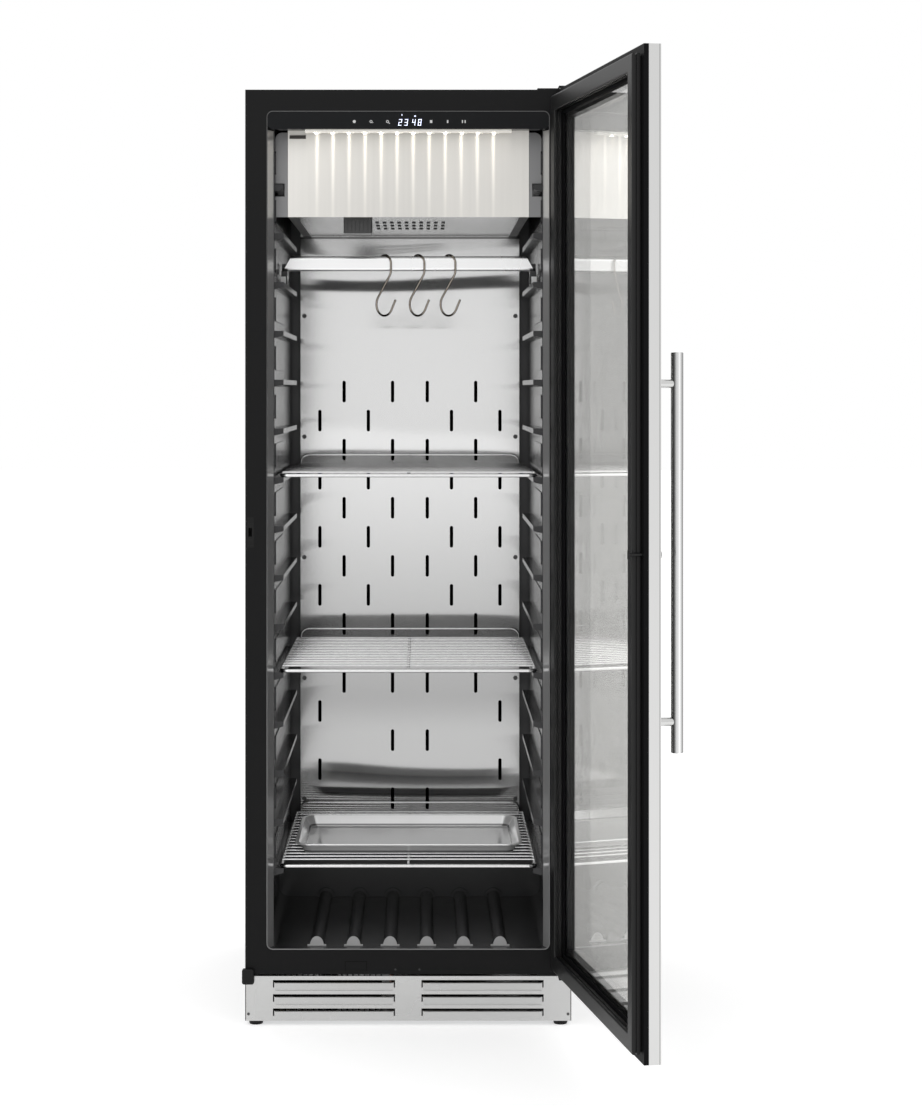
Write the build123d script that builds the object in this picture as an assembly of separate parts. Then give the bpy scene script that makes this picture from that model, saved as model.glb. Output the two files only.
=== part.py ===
from build123d import *
import os
from math import cos, radians, sin

# Dry aging cabinet, in millimetres: X to the right, Y to the back, Z up from the floor.
# The pieces are drawn with the front frame in the plane Y = 0 and the cabinet centred on X = 0.
# They are then moved so that the origin lies under the middle of the whole cabinet, door open.

# Cabinet body
cabinet_width = 595.0
cabinet_depth = 665.0
cabinet_top = 1707.0
foot_height = 8.0
frame_bottom = 93.0
frame_thickness = 3.0
stile_width = 38.5
head_height = 38.0
sill_height = 44.0
opening_radius = 12.0
sheet_thickness = 1.0
rear_wall = 45.0
cut_overrun = 2.0

# Inner liner and insulation
cavity_lip = 5.0
liner_wall = 2.0
cavity_radius = 20.0
step_depth = 132.0
step_height = 130.0
step_insulation = 32.0
board_joint = 0.1
rib_radius = 13.0
rib_pitch = 67.7
rib_count = 6
rib_start = 57.0
rib_foot_width = 34.0
rib_foot_height = 3.0
rib_foot_depth = 6.0
rib_shoulder_radius = 18.0
rib_shoulder_depth = 9.0

# Slotted duct panel and its screws
duct_depth = 20.0
panel_side_gap = 37.0
panel_thickness = 1.0
panel_edge_gap = 10.0
panel_top_gap = 2.0
slot_length = 45.0
slot_width = 7.0
slot_bottom_gap = 39.5
slot_rows = 15
slot_top_drop = 518.3
slot_centre_offset = 36.0
slot_edge_gap = 40.1
screw_inset = 8.0
screw_bottom_gap = 39.0
screw_rows = 5
screw_top_drop = 361.4
screw_head_radius = 4.5
screw_head_height = 2.0
screw_shank_radius = 2.0
screw_hole_clearance = 0.1
screw_boss_radius = 6.5
screw_bite = 12.0

# Side racks
rack_front = 30.0
rack_rear_gap = 15.0
rack_bottom_gap = 3.0
rack_top_gap = 34.0
rack_stand_off = 18.0
rack_wall = 3.0
ledge_reach = 16.0
ledge_tip = 9.0
ledge_root = 13.0
ledge_front = 42.0
ledge_rear_gap = 77.0
ledge_count = 15
first_ledge_gap = 16.0
last_ledge_drop = 136.0
pad_relief = 2.0
pad_front = 46.0
pad_length = 250.0
pad_bottom_gap = 18.0
pad_top_gap = 28.0
pad_radius = 8.0

# Top box with evaporator, fan, filter and lamp
box_side_gap = 41.5
box_front = 50.0
box_height = 196.0
box_sheet = 1.0
box_wall = 1.0
underside_side_gap = 17.5
underside_thickness = 1.0
air_slot_columns = 10
air_slot_rows = 3
air_slot_pitch = 14.0
air_slot_width = 7.0
air_slot_length = 60.0
air_slot_row_pitch = 84.0
air_slot_front = 163.0
air_slot_left = -60.5
filter_width = 52.5
filter_height = 28.0
filter_depth = 60.0
filter_left = -120.5
filter_front = 75.0
filter_radius = 3.0
filter_rib_count = 7
filter_rib_depth = 1.5
coil_side_gap = 42.5
coil_rear_gap = 120.0
coil_depth = 150.0
coil_base_gap = 12.0
coil_height = 130.0
fin_count = 22
fin_thickness = 1.5
coil_tube_radius = 5.0
coil_tube_rows = 3
coil_tube_columns = 3
coil_foot_width = 12.0
fan_hole_radius = 64.0
fan_rotor_radius = 58.0
fan_rotor_length = 20.0
fan_rotor_gap = 4.0
fan_hub_radius = 18.0
fan_blade_count = 5
fan_blade_thickness = 2.5
fan_blade_pitch = 32.0
fan_motor_radius = 22.0
fan_motor_length = 24.0
fan_shaft_radius = 3.0
fan_shaft_clearance = 0.06
fan_shaft_length = 14.0
fan_arm_width = 8.0
fan_arm_thickness = 3.0
fan_ring_width = 6.0
lamp_radius = 7.0
lamp_length = 180.0
lamp_gap = 50.0
lamp_cap_length = 14.0
lamp_cap_size = 20.0

# Control fascia and light bar
fascia_side_gap = 1.5
fascia_height = 32.0
fascia_head_gap = 1.5
fascia_front = 2.0
fascia_depth = 28.0
fascia_radius = 10.0
board_half_width = 90.0
board_height = 24.0
board_thickness = 1.6
board_chip = 8.0
board_chip_count = 5
light_end_gap = 68.5
light_front = 12.0
light_depth = 18.0
light_height = 4.5
lens_count = 12
lens_end_gap = 26.2
lens_radius = 4.0
lens_height = 1.5

# Hanging bar, its end brackets and the hooks
bar_end_gap = 8.0
bar_end_slope = 16.0
bar_height = 28.5
bar_thickness = 13.0
bar_wall = 1.5
bar_centre_depth = 170.0
bar_rise = 26.0
bar_level = 12
bracket_width = 12.0
bracket_inset = 3.0
bracket_foot_depth = 60.0
bracket_foot_height = 16.0
bracket_neck_depth = 24.0
hook_wire_radius = 2.0
hook_height = 115.0
hook_upper_radius = 17.0
hook_lower_radius = 22.0
hook_upper_tip = 12.0
hook_lower_tip = 21.0
hook_straight = 13.0
hook_bend_radius = 15.0
hook_slant = 38.0
hook_tip_slant = 30.0
hook_turn = 45.0
hook_seat_gap = 0.3
hook_places = (-45.7, 17.6, 76.2)

# Wire shelves and drip tray
shelf_side_gap = 8.5
shelf_front = 45.0
shelf_rear_gap = 10.0
shelf_levels = (0, 4, 8)
frame_wire_radius = 3.5
cross_wire_radius = 1.75
cross_wire_count = 18
cross_wire_front_gap = 39.0
cross_wire_rear_gap = 7.0
weld_sink = 0.5
frame_bend = 12.0
rail_inset = 12.5
rail_height = 23.5
rail_wire_radius = 2.0
rail_bend = 15.0
seat_gap = 0.3
tray_side_gap = 23.5
tray_depth = 310.0
tray_height = 20.0
tray_front = 115.0
tray_draft = 12.0
tray_wall = 1.0
tray_corner = 24.0
tray_base_corner = 16.0
tray_rim_width = 6.0
tray_rim_height = 3.0
tray_rim_round = 1.3

# Base and machine space
base_thickness = 2.0
foot_inset = 19.0
foot_front = 16.0
foot_rear_inset = 35.0
foot_radius = 14.0
foot_taper = 2.0
foot_stem_radius = 4.0
foot_stem_length = 26.0
foot_clearance = 0.06
foot_boss_radius = 9.0
foot_boss_height = 12.0
kick_top_gap = 3.5
kick_thickness = 1.2
kick_side_gap = 0.5
louvre_count = 3
louvre_side_gap = 50.25
louvre_middle_gap = 25.25
louvre_top_drop = 7.2
louvre_slit = 4.6
louvre_bottom_gap = 22.5
louvre_web = 5.3
louvre_bulge = 5.0
louvre_lip_shares = (0.8, 0.67)
louvre_hook_height = 9.0
louvre_hook_width = 2.4
kick_screw_inset = 4.5
kick_screw_height = 12.5
kick_screw_radius = 2.6
compressor_width = 190.0
compressor_height = 150.0
compressor_radius = 30.0
compressor_top_radius = 20.0
compressor_gap = 9.0
compressor_plate_width = 216.0
compressor_plate_thickness = 3.0
grommet_radius = 9.0
grommet_height = 16.0
grommet_inset = 14.0
condenser_side_gap = 47.5
condenser_front = 60.0
condenser_depth = 50.0
condenser_roof_gap = 13.0
condenser_fin_count = 20
condenser_rotor_edge_gap = 3.0
condenser_rotor_length = 14.0
condenser_rotor_gap = 6.0
condenser_motor_radius = 18.0
condenser_motor_length = 26.0
condenser_bracket_width = 16.0
condenser_bracket_thickness = 3.0
condensate_width = 150.0
condensate_inset = 22.0
condensate_height = 20.0
condensate_wall = 2.0
pipe_radius = 4.0
pipe_bend = 12.0
pipe_hole_clearance = 1.0
riser_inset = 27.0
riser_stub = 25.0
pipe_bay = 35.0
riser_start_height = 100.0
discharge_height = 70.0
vent_slot_count = 9
vent_slot_pitch = 15.0
vent_slot_width = 6.0
vent_slot_length = 200.0
vent_centre = 130.0
vent_first_height = 70.0
inlet_centre_x = -150.0
inlet_width = 48.0
inlet_height = 28.0
inlet_depth = 24.0
inlet_bottom = 24.0
inlet_recess_depth = 15.0
inlet_wall = 5.0
inlet_pin_width = 5.0
inlet_pin_thickness = 2.0
inlet_pin_length = 12.0
inlet_pin_pitch = 10.0

# Hinges
hinge_side_inset = 16.5
hinge_front = 23.0
hinge_plate_thickness = 3.0
hinge_arm_half_width = 8.0
hinge_arm_round_gap = 3.0
hinge_arm_reach = 11.0
hinge_base_width = 60.0
hinge_base_depth = 60.0
hinge_base_side_gap = 2.0
hinge_pin_radius = 3.5
hinge_pin_length = 16.0
hinge_running_clearance = 0.05
bush_radius = 6.0
bush_flange_radius = 6.5
bush_flange_height = 1.5
bush_length = 17.0
bush_seat_clearance = 0.05
blank_cap_width = 22.0
blank_cap_overhang = 5.5
blank_cap_depth = 10.0
blank_cap_height = 28.0
blank_cap_drop = 17.0
blank_cap_radius = 4.0

# Door
door_rest_angle = 100.0
door_gap = 0.3
door_thickness = 44.0
door_steel_back_gap = 8.0
door_steel_sheet = 1.2
gasket_depth = 16.0
door_frame_width = 48.0
glass_inset = 38.5
glass_thickness = 4.0
glass_front = 3.0
glass_pocket_gap = 0.1
spacer_inset = 44.0
spacer_width = 13.0
glass_back_gap = 3.0
gasket_outer_inset = 13.5
gasket_inner_inset = 42.0
gasket_foot_inset = 4.0
gasket_foot_height = 3.0
gasket_groove_depth = 2.5
gasket_groove_height = 3.0
gasket_round = 2.5
handle_radius = 10.0
handle_length = 640.0
handle_centre_height = 899.0
handle_edge_inset = 45.0
handle_stand_off = 39.0
handle_post_radius = 7.0
handle_post_spacing = 540.0
handle_chamfer = 1.0
lock_edge_inset = 9.0
lock_radius = 4.8
lock_bezel_radius = 7.0
lock_bezel_height = 1.5
lock_key_width = 1.6
lock_key_length = 7.0
lock_key_depth = 8.0
lock_seat_clearance = 0.1
cam_shaft_radius = 2.5
cam_shaft_length = 24.3
cam_socket_depth = 6.0
cam_bar_length = 14.0
cam_bar_width = 4.0
cam_bar_height = 3.5
keeper_width = 13.0
keeper_height = 55.0
keeper_slot_width = 6.5
keeper_slot_height = 17.0
keeper_end_width = 11.0
keeper_end_height = 7.0
keeper_end_depth = 1.0
keeper_pocket_depth = 14.0
keeper_pocket_clearance = 0.5
plug_radius = 6.5
plug_height = 6.0
plug_depth = 12.0
plug_place = 250.0
bumper_radius = 8.0
bumper_height = 2.0
bumper_place = 100.0

# Places that follow from the sizes above
half_width = cabinet_width / 2
body_back = cabinet_depth - sheet_thickness
shell_inner = half_width - sheet_thickness
opening_half = half_width - stile_width
opening_bottom = frame_bottom + sill_height
opening_top = cabinet_top - head_height
cavity_half = opening_half + cavity_lip
cavity_bottom = opening_bottom - cavity_lip
cavity_top = opening_top + cavity_lip
cavity_back = cabinet_depth - rear_wall
liner_half = cavity_half + liner_wall
liner_bottom = cavity_bottom - liner_wall
liner_top = cavity_top + liner_wall
liner_back = cavity_back + liner_wall
step_front = cavity_back - step_depth
step_top = cavity_bottom + step_height
panel_front = cavity_back - duct_depth
panel_back = panel_front + panel_thickness
panel_bottom = step_top + panel_edge_gap
panel_top = cavity_top - panel_top_gap
panel_half = cavity_half - panel_side_gap
first_slot = cavity_top - slot_top_drop
slot_row_pitch = (first_slot - panel_bottom - slot_bottom_gap) / (slot_rows - 1)
slot_column_pitch = (panel_half - slot_edge_gap - slot_centre_offset) / 3
first_screw = cavity_top - screw_top_drop
screw_pitch = (first_screw - panel_bottom - screw_bottom_gap) / (screw_rows - 1)
box_half = cavity_half - box_side_gap
box_bottom = cavity_top - box_height
box_floor = box_bottom + underside_thickness
housing_floor = box_floor + box_wall
fan_height = (housing_floor + cavity_top) / 2
coil_half_width = box_half - coil_side_gap
coil_front = panel_front - coil_rear_gap - coil_depth
coil_low = housing_floor + coil_base_gap
lamp_front = coil_front - lamp_gap
rack_face = cavity_half - rack_stand_off
rack_rear = panel_front - rack_rear_gap
rack_bottom = step_top + rack_bottom_gap
rack_top = cavity_top - rack_top_gap
ledge_face = rack_face - ledge_reach
ledge_length = rack_rear - ledge_rear_gap - ledge_front
first_ledge = step_top + first_ledge_gap
last_ledge = cavity_top - last_ledge_drop
ledge_pitch = (last_ledge - first_ledge) / (ledge_count - 1)
pad_height = ledge_pitch - pad_bottom_gap - pad_top_gap
fascia_top = opening_top - fascia_head_gap
fascia_bottom = fascia_top - fascia_height
fascia_back = fascia_front + fascia_depth
fascia_half = opening_half - fascia_side_gap
light_half_width = fascia_half - light_end_gap
lens_pitch = 2 * (light_half_width - lens_end_gap) / (lens_count - 1)
base_top = foot_height + base_thickness
foot_x = half_width - foot_inset
foot_rear = cabinet_depth - foot_rear_inset
kick_top = frame_bottom - kick_top_gap
machine_front = step_front + liner_wall + step_insulation
machine_top = step_top - liner_wall - step_insulation
kick_half = shell_inner - kick_side_gap
louvre_width = kick_half - louvre_side_gap - louvre_middle_gap
louvre_centre = louvre_middle_gap + louvre_width / 2
louvre_pitch = (kick_top - louvre_top_drop - foot_height - louvre_bottom_gap) / (louvre_count - 1)
louvre_height = louvre_pitch - louvre_slit - louvre_web
riser_x = panel_half - riser_inset
riser_top = coil_low + coil_height / 2
compressor_centre_x = riser_x - riser_stub - compressor_width / 2
compressor_depth = body_back - machine_front - 2 * compressor_gap
condensate_depth = compressor_depth - 2 * condensate_inset
condenser_left = -half_width + condenser_side_gap
condenser_width = compressor_centre_x - compressor_width / 2 - pipe_bay - condenser_left
condenser_height = frame_bottom - base_top - condenser_roof_gap
condenser_rotor_radius = condenser_height / 2 - condenser_rotor_edge_gap
hinge_x = half_width - hinge_side_inset
hinge_y = -hinge_front
door_bottom = frame_bottom + bush_flange_height
door_top = cabinet_top - bush_flange_height
door_front = -(door_gap + door_thickness)
door_body_depth = door_thickness - gasket_depth
door_steel_depth = door_body_depth - door_steel_back_gap
spacer_depth = door_body_depth - glass_front - 2 * glass_thickness - glass_back_gap
door_body_back = door_front + door_body_depth
lock_x = -half_width + lock_edge_inset
handle_x = -half_width + handle_edge_inset
handle_y = door_front - handle_stand_off
shelf_half_width = rack_face - shelf_side_gap
shelf_rear = panel_front - shelf_rear_gap
rail_half_width = shelf_half_width - rail_inset
tray_width = 2 * (shelf_half_width - tray_side_gap)
bar_half_length = rack_face - bar_end_gap
bar_bottom = first_ledge + bar_level * ledge_pitch + bar_rise
bar_top = bar_bottom + bar_height


def opened(x, y):
    """Where a point of the closed door lies once the door stands open."""
    turn = radians(door_rest_angle)
    across, along = x - hinge_x, y - hinge_y
    return (
        hinge_x + across * cos(turn) - along * sin(turn),
        hinge_y + across * sin(turn) + along * cos(turn),
    )


# The middle of the whole outline with the door open
left_limit = -half_width - blank_cap_overhang
right_limit = opened(handle_x, handle_y)[0] + handle_radius
front_limit = opened(-half_width, door_body_back)[1]
centre_x = (left_limit + right_limit) / 2
centre_y = (front_limit + cabinet_depth) / 2


def block(x0, x1, y0, y1, z0, z1):
    """A box between two corners."""
    box = Box(x1 - x0, y1 - y0, z1 - z0, align=(Align.MIN, Align.MIN, Align.MIN))
    return Pos(x0, y0, z0) * box


def rod(radius, start, end):
    """A round rod from one point to another."""
    span = Vector(*end) - Vector(*start)
    return Solid.make_cylinder(radius, span.length, Plane(origin=start, z_dir=span))


def bent_rod(radius, path):
    """A round rod along a path of lines and arcs."""
    return sweep(Plane(origin=path @ 0, z_dir=path % 0) * Circle(radius), path=path)


def facing(y):
    """The upright plane at depth y that looks to the front, with its own y axis upwards."""
    return Plane(origin=(0, y, 0), x_dir=(1, 0, 0), z_dir=(0, -1, 0))


def ledge_level(index):
    """The height of one ledge's top."""
    return first_ledge + index * ledge_pitch


def mirrored(shape):
    """The same piece on the other side of the cabinet."""
    return mirror(shape, about=Plane.YZ)


def spread(count, low, high):
    """Evenly spaced values from low to high."""
    return [low + (high - low) * i / (count - 1) for i in range(count)]


def all_of(shapes):
    """Several separate solids as one group."""
    return Compound([solid for shape in shapes for solid in shape.solids()])


def save(name, shape):
    """Write one piece, moved so that the origin is under the middle of the cabinet."""
    export_step(Pos(-centre_x, -centre_y, 0) * shape, f"parts/{name}.step")


def save_door(name, shape):
    """Write one piece of the door, swung open about the hinge pins."""
    swing = Pos(hinge_x, hinge_y, 0) * Rot(0, 0, door_rest_angle) * Pos(-hinge_x, -hinge_y, 0)
    save(name, swing * shape)


# Cabinet body


def outer_shell():
    """Folded steel wrapper: two sides and the top."""
    side = block(shell_inner, half_width, frame_thickness, body_back, foot_height, cabinet_top)
    side += block(shell_inner, half_width, 0, frame_thickness, foot_height, kick_top)
    lid = block(
        -half_width, half_width, frame_thickness, body_back, cabinet_top - sheet_thickness, cabinet_top
    )
    return side + mirrored(side) + lid


def rear_cover():
    """Flat back sheet with vent slots over the machine space and a hole for the inlet."""
    cover = block(-half_width, half_width, body_back, cabinet_depth, foot_height, cabinet_top)
    slots = Sketch()
    for side in (-1, 1):
        for row in range(vent_slot_count):
            height = vent_first_height + row * vent_slot_pitch
            slots += Pos(side * vent_centre, height) * SlotOverall(vent_slot_length, vent_slot_width)
    cover -= extrude(facing(cabinet_depth + cut_overrun) * slots, sheet_thickness + 2 * cut_overrun)
    return cover - inlet_body(cut_overrun)


def base_pan():
    """Flat steel base with a threaded boss over each foot."""
    pan = block(-shell_inner, shell_inner, frame_thickness, body_back, foot_height, base_top)
    for x, y in foot_places():
        pan += rod(foot_boss_radius, (x, y, base_top), (x, y, base_top + foot_boss_height))
        pan -= rod(
            foot_stem_radius + foot_clearance,
            (x, y, foot_height - cut_overrun),
            (x, y, base_top + foot_boss_height + cut_overrun),
        )
    return pan


def foot_places():
    """The centres of the four feet, front pair first."""
    return [(side * foot_x, y) for y in (foot_front, foot_rear) for side in (-1, 1)]


def levelling_foot(x, y):
    """Tapered foot pad with its screw stem."""
    standing = (Align.CENTER, Align.CENTER, Align.MIN)
    pad = Cone(foot_radius - foot_taper, foot_radius, foot_height, align=standing)
    stem = rod(foot_stem_radius, (x, y, 0), (x, y, foot_height + foot_stem_length))
    return Pos(x, y, 0) * pad + stem


def riser_hole():
    """The way of the refrigerant riser through the step."""
    y = cavity_back - duct_depth / 2
    radius = pipe_radius + pipe_hole_clearance
    return rod(radius, (riser_x, y, machine_top - cut_overrun), (riser_x, y, step_top + cut_overrun))


def foam_insulation():
    """Insulation boards between the liner and the steel wrapper, with thin joints."""
    joint = board_joint
    roof = cabinet_top - sheet_thickness
    half = liner_half - joint
    side = block(liner_half, shell_inner, frame_thickness, body_back, frame_bottom, roof)
    pocket_half = cam_bar_length / 2 + keeper_pocket_clearance
    pocket = block(
        -lock_x - pocket_half,
        -lock_x + pocket_half,
        frame_thickness - cut_overrun,
        frame_thickness + keeper_pocket_depth,
        handle_centre_height - pocket_half,
        handle_centre_height + pocket_half,
    )
    step_back = step_front + liner_wall
    step_under = step_top - liner_wall
    top = block(-half, half, frame_thickness, body_back, liner_top + joint, roof)
    rear = block(-half, half, liner_back, body_back, machine_top, liner_top)
    floor = block(-half, half, frame_thickness, step_back, frame_bottom, liner_bottom)
    step_face = block(-half, half, step_back + joint, machine_front, frame_bottom, machine_top - joint)
    step_roof = block(-half, half, step_back + joint, liner_back - joint, machine_top, step_under)
    return all_of([side, mirrored(side - pocket), top, rear, floor, step_face, step_roof - riser_hole()])


def rounded_tunnel(half, bottom, top, front, back, radius):
    """A box whose four long edges, front to back, are rounded."""
    tunnel = block(-half, half, front, back, bottom, top)
    return fillet(tunnel.edges().filter_by(Axis.Y), radius)


def floor_rib(x):
    """One half-round rib of the floor, with its foot plate and its shoulder at the step."""
    above = block(
        x - rib_foot_width, x + rib_foot_width, 0, cavity_back, cavity_bottom, cavity_bottom + step_height
    )
    rib = rod(rib_radius, (x, rib_start, cavity_bottom), (x, step_front, cavity_bottom))
    shoulder_start = step_front - rib_shoulder_depth
    rib += rod(rib_shoulder_radius, (x, shoulder_start, cavity_bottom), (x, step_front, cavity_bottom))
    foot = block(
        x - rib_foot_width / 2,
        x + rib_foot_width / 2,
        rib_start,
        rib_start + rib_foot_depth,
        cavity_bottom,
        cavity_bottom + rib_foot_height,
    )
    return (rib & above) + foot


def panel_screw_places():
    """The screws along both edges of the duct panel."""
    x = panel_half - screw_inset
    return [(side * x, first_screw - row * screw_pitch) for row in range(screw_rows) for side in (-1, 1)]


def inner_liner():
    """Moulded black liner with ribbed floor, rear step and screw bosses for the duct panel."""
    shell = rounded_tunnel(
        liner_half, liner_bottom, liner_top, frame_thickness, liner_back, cavity_radius + liner_wall
    )
    shell -= block(
        -liner_half - cut_overrun,
        liner_half + cut_overrun,
        step_front + liner_wall,
        liner_back + cut_overrun,
        liner_bottom - cut_overrun,
        step_top - liner_wall,
    )
    cavity = rounded_tunnel(
        cavity_half, cavity_bottom, cavity_top, frame_thickness - cut_overrun, cavity_back, cavity_radius
    )
    cavity -= block(-cavity_half, cavity_half, step_front, cavity_back, cavity_bottom, step_top)
    liner = shell - cavity
    middle = (rib_count - 1) / 2
    for i in range(rib_count):
        liner += floor_rib((i - middle) * rib_pitch)
    for x, z in panel_screw_places():
        liner += rod(screw_boss_radius, (x, panel_back, z), (x, cavity_back + liner_wall / 2, z))
        hole = screw_shank_radius + screw_hole_clearance
        liner -= rod(hole, (x, panel_back - cut_overrun, z), (x, panel_back + screw_bite, z))
    return liner - riser_hole()


def keeper_outline(clearance):
    """The room of the lock keeper in the front frame."""
    half = keeper_width / 2 + clearance
    tall = keeper_height / 2 + clearance
    return block(
        lock_x - half,
        lock_x + half,
        -clearance,
        frame_thickness + clearance,
        handle_centre_height - tall,
        handle_centre_height + tall,
    )


def front_frame():
    """Black frame round the cavity's mouth, with a recess for the lock keeper."""
    frame = block(-half_width, half_width, 0, frame_thickness, frame_bottom, cabinet_top)
    back = frame_thickness + cut_overrun
    mouth = rounded_tunnel(opening_half, opening_bottom, opening_top, -cut_overrun, back, opening_radius)
    frame -= mouth
    return frame - keeper_outline(0)


def lock_keeper():
    """Keeper plate flush in the frame, with a slot for the lock's cross bar."""
    plate = keeper_outline(0)
    slot_half = keeper_slot_width / 2
    slot_tall = keeper_slot_height / 2
    plate -= block(
        lock_x - slot_half,
        lock_x + slot_half,
        -cut_overrun,
        frame_thickness + cut_overrun,
        handle_centre_height - slot_tall,
        handle_centre_height + slot_tall,
    )
    for side in (-1, 1):
        z = handle_centre_height + side * (keeper_height / 2 - keeper_end_height)
        plate -= block(
            lock_x - keeper_end_width / 2,
            lock_x + keeper_end_width / 2,
            -cut_overrun,
            keeper_end_depth,
            z - keeper_end_height / 2,
            z + keeper_end_height / 2,
        )
    return plate


# Inside the cavity


def slot_places():
    """Where the duct panel's slots are: full staggered rows above, sparse rows below."""
    inner, outer = slot_centre_offset, slot_centre_offset + 3 * slot_column_pitch
    wide = (inner, inner + 2 * slot_column_pitch)
    narrow = (inner + slot_column_pitch, outer)
    sparse_start = slot_rows - 4
    places = []
    for row in range(slot_rows):
        offsets = wide if row % 2 == 0 else narrow
        if row >= sparse_start:
            offsets = (outer,) if (row - sparse_start) % 2 == 0 else (inner,)
        z = first_slot - row * slot_row_pitch
        places += [(side * x, z) for x in offsets for side in (-1, 1)]
    return places


def duct_panel():
    """Slotted stainless back panel with the fan's hole and the riser's hole."""
    panel = block(-panel_half, panel_half, panel_front, panel_back, panel_bottom, panel_top)
    holes = Sketch()
    for x, z in slot_places():
        holes += Pos(x, z) * SlotOverall(slot_length, slot_width, rotation=90)
    holes += Pos(0, fan_height) * Circle(fan_hole_radius)
    holes += Pos(riser_x, riser_top) * Circle(pipe_radius + pipe_hole_clearance)
    for x, z in panel_screw_places():
        holes += Pos(x, z) * Circle(screw_shank_radius + screw_hole_clearance)
    return panel - extrude(facing(panel_back + cut_overrun) * holes, panel_thickness + 2 * cut_overrun)


def rack_panel():
    """Right-hand rack panel: a shallow pan with raised pads between the ledges."""
    panel = block(rack_face, cavity_half, rack_front, rack_rear, rack_bottom, rack_top)
    panel -= block(
        rack_face + rack_wall,
        cavity_half + cut_overrun,
        rack_front + rack_wall,
        rack_rear - rack_wall,
        rack_bottom + rack_wall,
        rack_top - rack_wall,
    )
    for i in range(ledge_count):
        low = ledge_level(i) + pad_bottom_gap
        pad = block(
            rack_face - pad_relief,
            rack_face + rack_wall / 2,
            pad_front,
            pad_front + pad_length,
            low,
            low + pad_height,
        )
        panel += fillet(pad.edges().filter_by(Axis.X), pad_radius)
    return panel


def rack_ledges():
    """Right-hand ledges, each a bar that is deeper where it meets the panel."""
    ledges = []
    for i in range(ledge_count):
        top = ledge_level(i)
        outline = Polyline(
            (ledge_face, top),
            (rack_face, top),
            (rack_face, top - ledge_root),
            (ledge_face, top - ledge_tip),
            close=True,
        )
        ledges.append(extrude(facing(ledge_front + ledge_length) * make_face(outline), ledge_length))
    return all_of(ledges)


def top_box_front():
    """Stainless front plate of the top box."""
    return block(-box_half, box_half, box_front, box_front + box_sheet, box_bottom, panel_top)


def air_slot_places():
    """The front left corners of the slots in the top box's underside."""
    return [
        (air_slot_left + i * air_slot_pitch, air_slot_front + j * air_slot_row_pitch)
        for i in range(air_slot_columns)
        for j in range(air_slot_rows)
    ]


def air_slots(bottom, top):
    """The slots cut through a sheet of the top box's underside."""
    cuts = Sketch()
    for x, y in air_slot_places():
        cuts += Pos(x, y + air_slot_length / 2) * SlotOverall(air_slot_length, air_slot_width, rotation=90)
    return extrude(Plane.XY.offset(bottom - cut_overrun) * cuts, top - bottom + 2 * cut_overrun)


def underside_plate():
    """Bright plate under the top box, with the air slots."""
    half = box_half - underside_side_gap
    plate = block(-half, half, box_front + box_sheet, panel_front, box_bottom, box_floor)
    return plate - air_slots(box_bottom, box_floor)


def top_box_housing():
    """Tray that carries the evaporator: floor and two side walls up to the cavity's roof."""
    front = box_front + box_sheet
    housing = block(-box_half, box_half, front, panel_front, box_floor, cavity_top)
    housing -= block(
        -box_half + box_wall,
        box_half - box_wall,
        front - cut_overrun,
        panel_front + cut_overrun,
        housing_floor,
        cavity_top + cut_overrun,
    )
    return housing - air_slots(box_floor, housing_floor)


def charcoal_filter():
    """Ribbed cartridge that hangs under the top box."""
    body = block(
        filter_left,
        filter_left + filter_width,
        filter_front,
        filter_front + filter_depth,
        box_bottom - filter_height,
        box_bottom,
    )
    body = fillet(body.edges().filter_by(Axis.Z), filter_radius)
    groove_pitch = filter_width / filter_rib_count
    for i in range(1, filter_rib_count):
        x = filter_left + i * groove_pitch
        body -= block(
            x - filter_rib_depth / 2,
            x + filter_rib_depth / 2,
            filter_front - cut_overrun,
            filter_front + filter_rib_depth,
            box_bottom - filter_height - cut_overrun,
            box_bottom - filter_rib_depth,
        )
    return body


def finned_coil(x0, x1, y0, y1, z0, z1, count, rows, columns):
    """A heat exchanger: upright fins on rows of tubes, seen from the front along Y."""
    coil = Part()
    for x in spread(count, x0, x1 - fin_thickness):
        coil += block(x, x + fin_thickness, y0, y1, z0, z1)
    for row in range(rows):
        for column in range(columns):
            y = y0 + (y1 - y0) * (column + 1) / (columns + 1)
            z = z0 + (z1 - z0) * (row + 1) / (rows + 1)
            coil += rod(coil_tube_radius, (x0, y, z), (x1, y, z))
    return coil


def evaporator_coil():
    """Evaporator in the top box, on two feet."""
    coil = finned_coil(
        -coil_half_width,
        coil_half_width,
        coil_front,
        coil_front + coil_depth,
        coil_low,
        coil_low + coil_height,
        fin_count,
        coil_tube_rows,
        coil_tube_columns,
    )
    foot = block(
        coil_half_width - coil_foot_width,
        coil_half_width,
        coil_front,
        coil_front + coil_depth,
        housing_floor,
        coil_low,
    )
    return coil + foot + mirrored(foot)


def fan_rotor(x, y, z, radius, hub, length, bore):
    """Axial fan rotor: blades on a hub, about an axis along Y, bored for its shaft."""
    rotor = rod(hub, (x, y, z), (x, y + length, z))
    chord = length / sin(radians(90 - fan_blade_pitch)) / 2
    for i in range(fan_blade_count):
        blade = Box(chord * 2 * cos(radians(fan_blade_pitch)), fan_blade_thickness, radius - hub / 2)
        blade = Pos(0, 0, (radius + hub / 2) / 2) * Rot(0, 0, fan_blade_pitch) * blade
        rotor += Pos(x, y + length / 2, z) * Rot(0, 360 * i / fan_blade_count, 0) * blade
    rotor = rotor & rod(radius, (x, y, z), (x, y + length, z))
    return rotor - rod(bore, (x, y - cut_overrun, z), (x, y + length + cut_overrun, z))


def evaporator_rotor_start():
    """The front face of the evaporator fan's rotor."""
    return panel_front - fan_rotor_gap - fan_rotor_length


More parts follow.
